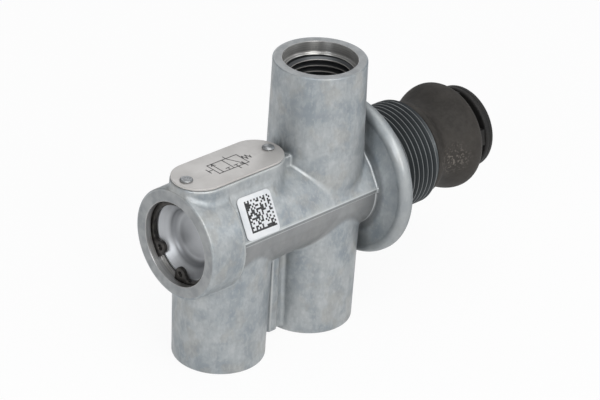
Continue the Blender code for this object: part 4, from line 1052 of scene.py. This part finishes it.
squares, square_inputs, given = geometry_rule("printed_squares", columns=16, cell=0.465, ink=0.015, seed=7)
tree = squares
span = times(tree, given["Cell"], minus(tree, given["Columns"], 1.0))
cells = add_node(tree, "GeometryNodeMeshGrid", {"Size X": span, "Size Y": span, "Vertices X": given["Columns"],
                                                "Vertices Y": given["Columns"]})
index = add_node(tree, "GeometryNodeInputIndex").outputs[0]
column, row = parted(tree, index, given["Columns"])
chance = add_node(tree, "FunctionNodeRandomValue", {"Seed": given["Seed"]}, data_type="FLOAT")
dark = calculate(tree, "GREATER_THAN", chance.outputs[1], 0.47)
for line in (column, row):
    dark = calculate(tree, "MAXIMUM", dark, calculate(tree, "LESS_THAN", line, 0.5))
last_line = minus(tree, given["Columns"], 1.5)
for line, other in ((column, row), (row, column)):
    on_edge = calculate(tree, "GREATER_THAN", line, last_line)
    beat = calculate(tree, "LESS_THAN", calculate(tree, "MODULO", other, 2.0), 0.5)
    dark = plus(tree, times(tree, dark, minus(tree, 1.0, on_edge)), times(tree, on_edge, beat))
dots = add_node(tree, "GeometryNodeMeshToPoints", {"Mesh": cells.outputs["Mesh"], "Selection": dark})
wide = times(tree, given["Cell"], 0.985)
tile_size = add_node(tree, "ShaderNodeCombineXYZ", {"X": wide, "Y": wide, "Z": given["Ink"]})
tile = add_node(tree, "GeometryNodeMeshCube", {"Size": tile_size.outputs[0]})
laid = add_node(tree, "GeometryNodeInstanceOnPoints", {"Points": dots.outputs[0], "Instance": tile.outputs["Mesh"]})
give_painted(tree, laid.outputs[0], given["Material"])
ink = finish("black_ink", clouds(1.5, 2.0, (0.012, 0.012, 0.013), (0.030, 0.030, 0.032)),
             0.5, 0.0, grains(0.2), bump=0.1, depth=0.02)
code = made_by_rule("sticker_squares", squares, square_inputs, material=ink)
code_right, code_up, ink_gap = 0.60, 0.15, 0.006
moved_points(code.data, lambda x, y, z: on_leaning_flat(x + code_right, y + code_up, z + label_thick + ink_gap))
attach(code, "housing")


# Boot: moulded rubber bellows between the neck's mouth and the button, in one piece with the
# beads that snap into both. It is dusty, with pale scuffs.
boot_start, boot_end, boot_wall = 73.15, 88.3, 1.1
bead_start, bead_end, lip_start = 70.5, 71.3, 87.3
waist_r, bulge_r, hub_r, hub_neck_r = 10.7, 13.3, 8.4, 6.4


def eased(first, last, steps):
    """Points that leave and reach two places level, as a moulded fold does."""
    shares = [step / steps for step in range(1, steps + 1)]
    return [(first[0] + (last[0] - first[0]) * share,
             first[1] + (last[1] - first[1]) * (1 - math.cos(math.pi * share)) / 2) for share in shares]


boot_span = boot_end - boot_start
shoulder = (boot_start + 0.85, waist_r + 1.2)
waist = (boot_start + boot_span * 0.26, waist_r)
bulge = (boot_start + boot_span * 0.80, bulge_r)
outer = [(boot_start, shoulder[1] - 0.25), (boot_start + 0.12, shoulder[1] - 0.05), (boot_start + 0.35, shoulder[1]),
         shoulder]
outer += eased(shoulder, waist, 10) + eased(waist, bulge, 20)
outer += [(bulge[0] + (boot_end - bulge[0]) * math.sin(math.radians(a)),
           bulge[1] - 2.6 * (1 - math.cos(math.radians(a)))) for a in range(5, 86, 5)]
inner = []
for index in range(3, len(outer) - 3):
    before, after = outer[index - 1], outer[index + 1]
    run, fall = after[0] - before[0], after[1] - before[1]
    size = math.hypot(run, fall)
    inner.append((outer[index][0] + fall / size * boot_wall, outer[index][1] - run / size * boot_wall))
throat = neck_mouth_r - 0.3
bead_r = 11.0
boot_profile = [(bead_start, throat - 0.8), (bead_start, bead_r), (bead_end, bead_r), (bead_end, throat),
                (boot_start, throat)]
boot_profile += outer
boot_profile += [(boot_end, 10.1), (boot_end, hub_neck_r + 0.3), (lip_start, hub_neck_r + 0.3),
                 (lip_start, hub_r + 0.6)]
boot_profile += inner[::-1] + [(boot_start + 0.45, throat - 0.8)]


def rubber_colour(tree):
    cloud = grouped(tree, blotches, size=8.0, seed=3.0)["Mask"]
    fine = grouped(tree, blotches, size=1.1, seed=6.0)["Mask"]
    dust = grouped(tree, blotches, size=0.55, seed=1.0)["Mask"]
    there = add_node(tree, "ShaderNodeVectorMath", {
        0: add_node(tree, "ShaderNodeTexCoord").outputs["Object"], 1: (0.0313, -0.0128, 0.0336)},
        operation="DISTANCE")
    near = spread(tree, there.outputs["Value"], 0.0005, 0.0062, 1.0, 0.0)
    tone = mixed(tree, cloud, (0.018, 0.016, 0.014), (0.034, 0.030, 0.026))
    tone = mixed(tree, times(tree, fine, 0.25), tone, (0.060, 0.055, 0.050))
    scuff = times(tree, near, spread(tree, dust, 0.55, 1.0))
    return mixed(tree, times(tree, scuff, 0.60), tone, (0.24, 0.215, 0.19))


boot_rubber = finish("boot_rubber", rubber_colour, 0.66, 0.0, grains(0.5), bump=0.3, depth=0.06,
                     specular_ior_level=0.30)
boot = turned("boot", boot_profile, [boot_rubber], segments=144)
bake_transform(boot)
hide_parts("rubber_boot")


# Button: black moulded mushroom on the stem's end, with four broad webs between hub and disc.
# The boot's lip sits in the groove behind them.
button_r, hub_start, disc_start = 10.45, 86.0, 91.2
socket_r = 3.3
button_profile = [(disc_start - 0.3, 0.0, 0), (disc_start - 0.3, socket_r), (hub_start, socket_r),
                  (hub_start, hub_neck_r), (86.6, 7.2), (87.0, 7.2), (87.0, hub_neck_r), (88.6, hub_neck_r),
                  (88.6, hub_r), (disc_start, hub_r), (disc_start, button_r - 0.7)]
button_profile += arc(disc_start + 0.6, button_r - 0.6, 0.6, 180, 90, 5)
button_line = 92.4
button_profile += [(button_line - 0.15, button_r), (button_line - 0.05, button_r - 0.12),
                   (button_line + 0.05, button_r - 0.12), (button_line + 0.15, button_r)]
button_profile += arc(valve_length - 1.0, button_r - 0.9, 0.9, 85, 15, 6)
button_profile += [(valve_length - 0.08, button_r - 2.0), (valve_length, button_r - 4.0), (valve_length, 0.0)]
plastic = finish(
    "button_plastic", clouds(5.0, 4.0, (0.012, 0.012, 0.012), (0.020, 0.019, 0.018)),
    0.55, 0.0, grains(0.4), bump=0.2, depth=0.04, specular_ior_level=0.28)
button = turned("button", button_profile, [plastic], closed=False, segments=144)
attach(button, "plunger_group")
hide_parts("push_button")

webs, web_inputs, given = geometry_rule("ring_of_webs", count=4, radius=8.55, tall=2.6, thick=4.0, deep=2.9)
tree = webs
ring = add_node(tree, "GeometryNodeMeshCircle", {"Vertices": given["Count"], "Radius": given["Radius"]})
index = add_node(tree, "GeometryNodeInputIndex").outputs[0]
turn = times(tree, calculate(tree, "DIVIDE", index, given["Count"]), math.tau)
turned_to = add_node(tree, "ShaderNodeCombineXYZ", {"X": 0.0, "Y": 0.0, "Z": turn})
bar_size = add_node(tree, "ShaderNodeCombineXYZ", {"X": given["Tall"], "Y": given["Thick"], "Z": given["Deep"]})
block = add_node(tree, "GeometryNodeMeshCube", {"Size": bar_size.outputs[0]})
stood = add_node(tree, "GeometryNodeInstanceOnPoints", {"Points": ring.outputs[0], "Instance": block.outputs["Mesh"],
                                                       "Rotation": turned_to.outputs[0]})
give_painted(tree, stood.outputs[0], given["Material"])
button_webs = made_by_rule("button_webs", webs, web_inputs, material=plastic)
web_turn, web_x = math.radians(80.5), 90.05
moved_points(button_webs.data, lambda x, y, z: np.stack([z + web_x, *rotated(x, y, web_turn)], 1))
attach(button_webs, "plunger_group")


# Return spring: hard-drawn steel wire with closed ends, between the plug's pocket and the
# spool's shoulder.
wire_r, coil_r = 0.45, 4.3
spring_start, spring_end = 8.45, 21.25
closed_turns, open_turns, closed_pitch = 0.75, 5.5, 1.02
total_turns = open_turns + 2 * closed_turns
way = np.linspace(0, total_turns, int(total_turns * 40) + 1)
middle_run = spring_end - spring_start - 2 * closed_turns * closed_pitch
along = np.where(way < closed_turns, spring_start + closed_pitch * way, np.where(
    way > closed_turns + open_turns, spring_end - closed_pitch * (total_turns - way),
    spring_start + closed_turns * closed_pitch + middle_run * (way - closed_turns) / open_turns))
sides = 12
rows = []
for side_index in range(sides):
    around = math.tau * side_index / sides
    out = coil_r + wire_r * math.cos(around)
    rows.append(np.stack([along + wire_r * math.sin(around), out * np.cos(math.tau * way),
                          out * np.sin(math.tau * way)], 1))
points = np.stack(rows, 1)
faces = [(ring * sides + s, ring * sides + (s + 1) % sides, (ring + 1) * sides + (s + 1) % sides,
          (ring + 1) * sides + s) for ring in range(len(points) - 1) for s in range(sides)]
faces += [tuple(range(sides)), tuple((len(points) - 1) * sides + s for s in reversed(range(sides)))]
spring_steel = finish(
    "spring_steel", clouds(2.0, 5.0, (0.34, 0.34, 0.35), (0.46, 0.45, 0.44)),
    0.3, 0.95, grains(0.2), bump=0.1, depth=0.02)
coil = add_mesh("coil_spring", points.reshape(-1, 3), faces, [spring_steel])
settle(coil.data, 50)
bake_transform(coil)
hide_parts("return_spring")


# Inner parts: spool, stem, guide bush and seals stay as they are in the solids, each in the
# finish of its own metal or rubber.
def plain_finish(name, dark, light, roughness, metallic, size=2.0, relief=0.2):
    return finish(name, clouds(size, 0.0, dark, light), roughness, metallic, grains(relief), bump=0.15, depth=0.02)


anodised = plain_finish("anodised_aluminium", (0.50, 0.51, 0.52), (0.60, 0.61, 0.62), 0.34, 0.9)
ground_steel = plain_finish("ground_steel", (0.55, 0.55, 0.55), (0.64, 0.64, 0.63), 0.22, 1.0)
brass = plain_finish("turned_brass", (0.70, 0.52, 0.25), (0.82, 0.64, 0.33), 0.3, 0.95)
seal_rubber = plain_finish("seal_rubber", (0.016, 0.016, 0.016), (0.026, 0.025, 0.024), 0.55, 0.0)
for node, look in (("spool", anodised), ("spool_seal_middle", seal_rubber), ("spool_seal_rear", seal_rubber),
                   ("plunger", ground_steel), ("guide_bush", brass), ("guide_bush_seal", seal_rubber),
                   ("stem_seal", seal_rubber), ("seal_washer", plug_metal), ("bush_retaining_ring", black_steel),
                   ("end_plug_seal", seal_rubber)):
    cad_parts[node].data.materials.clear()
    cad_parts[node].data.materials.append(look)
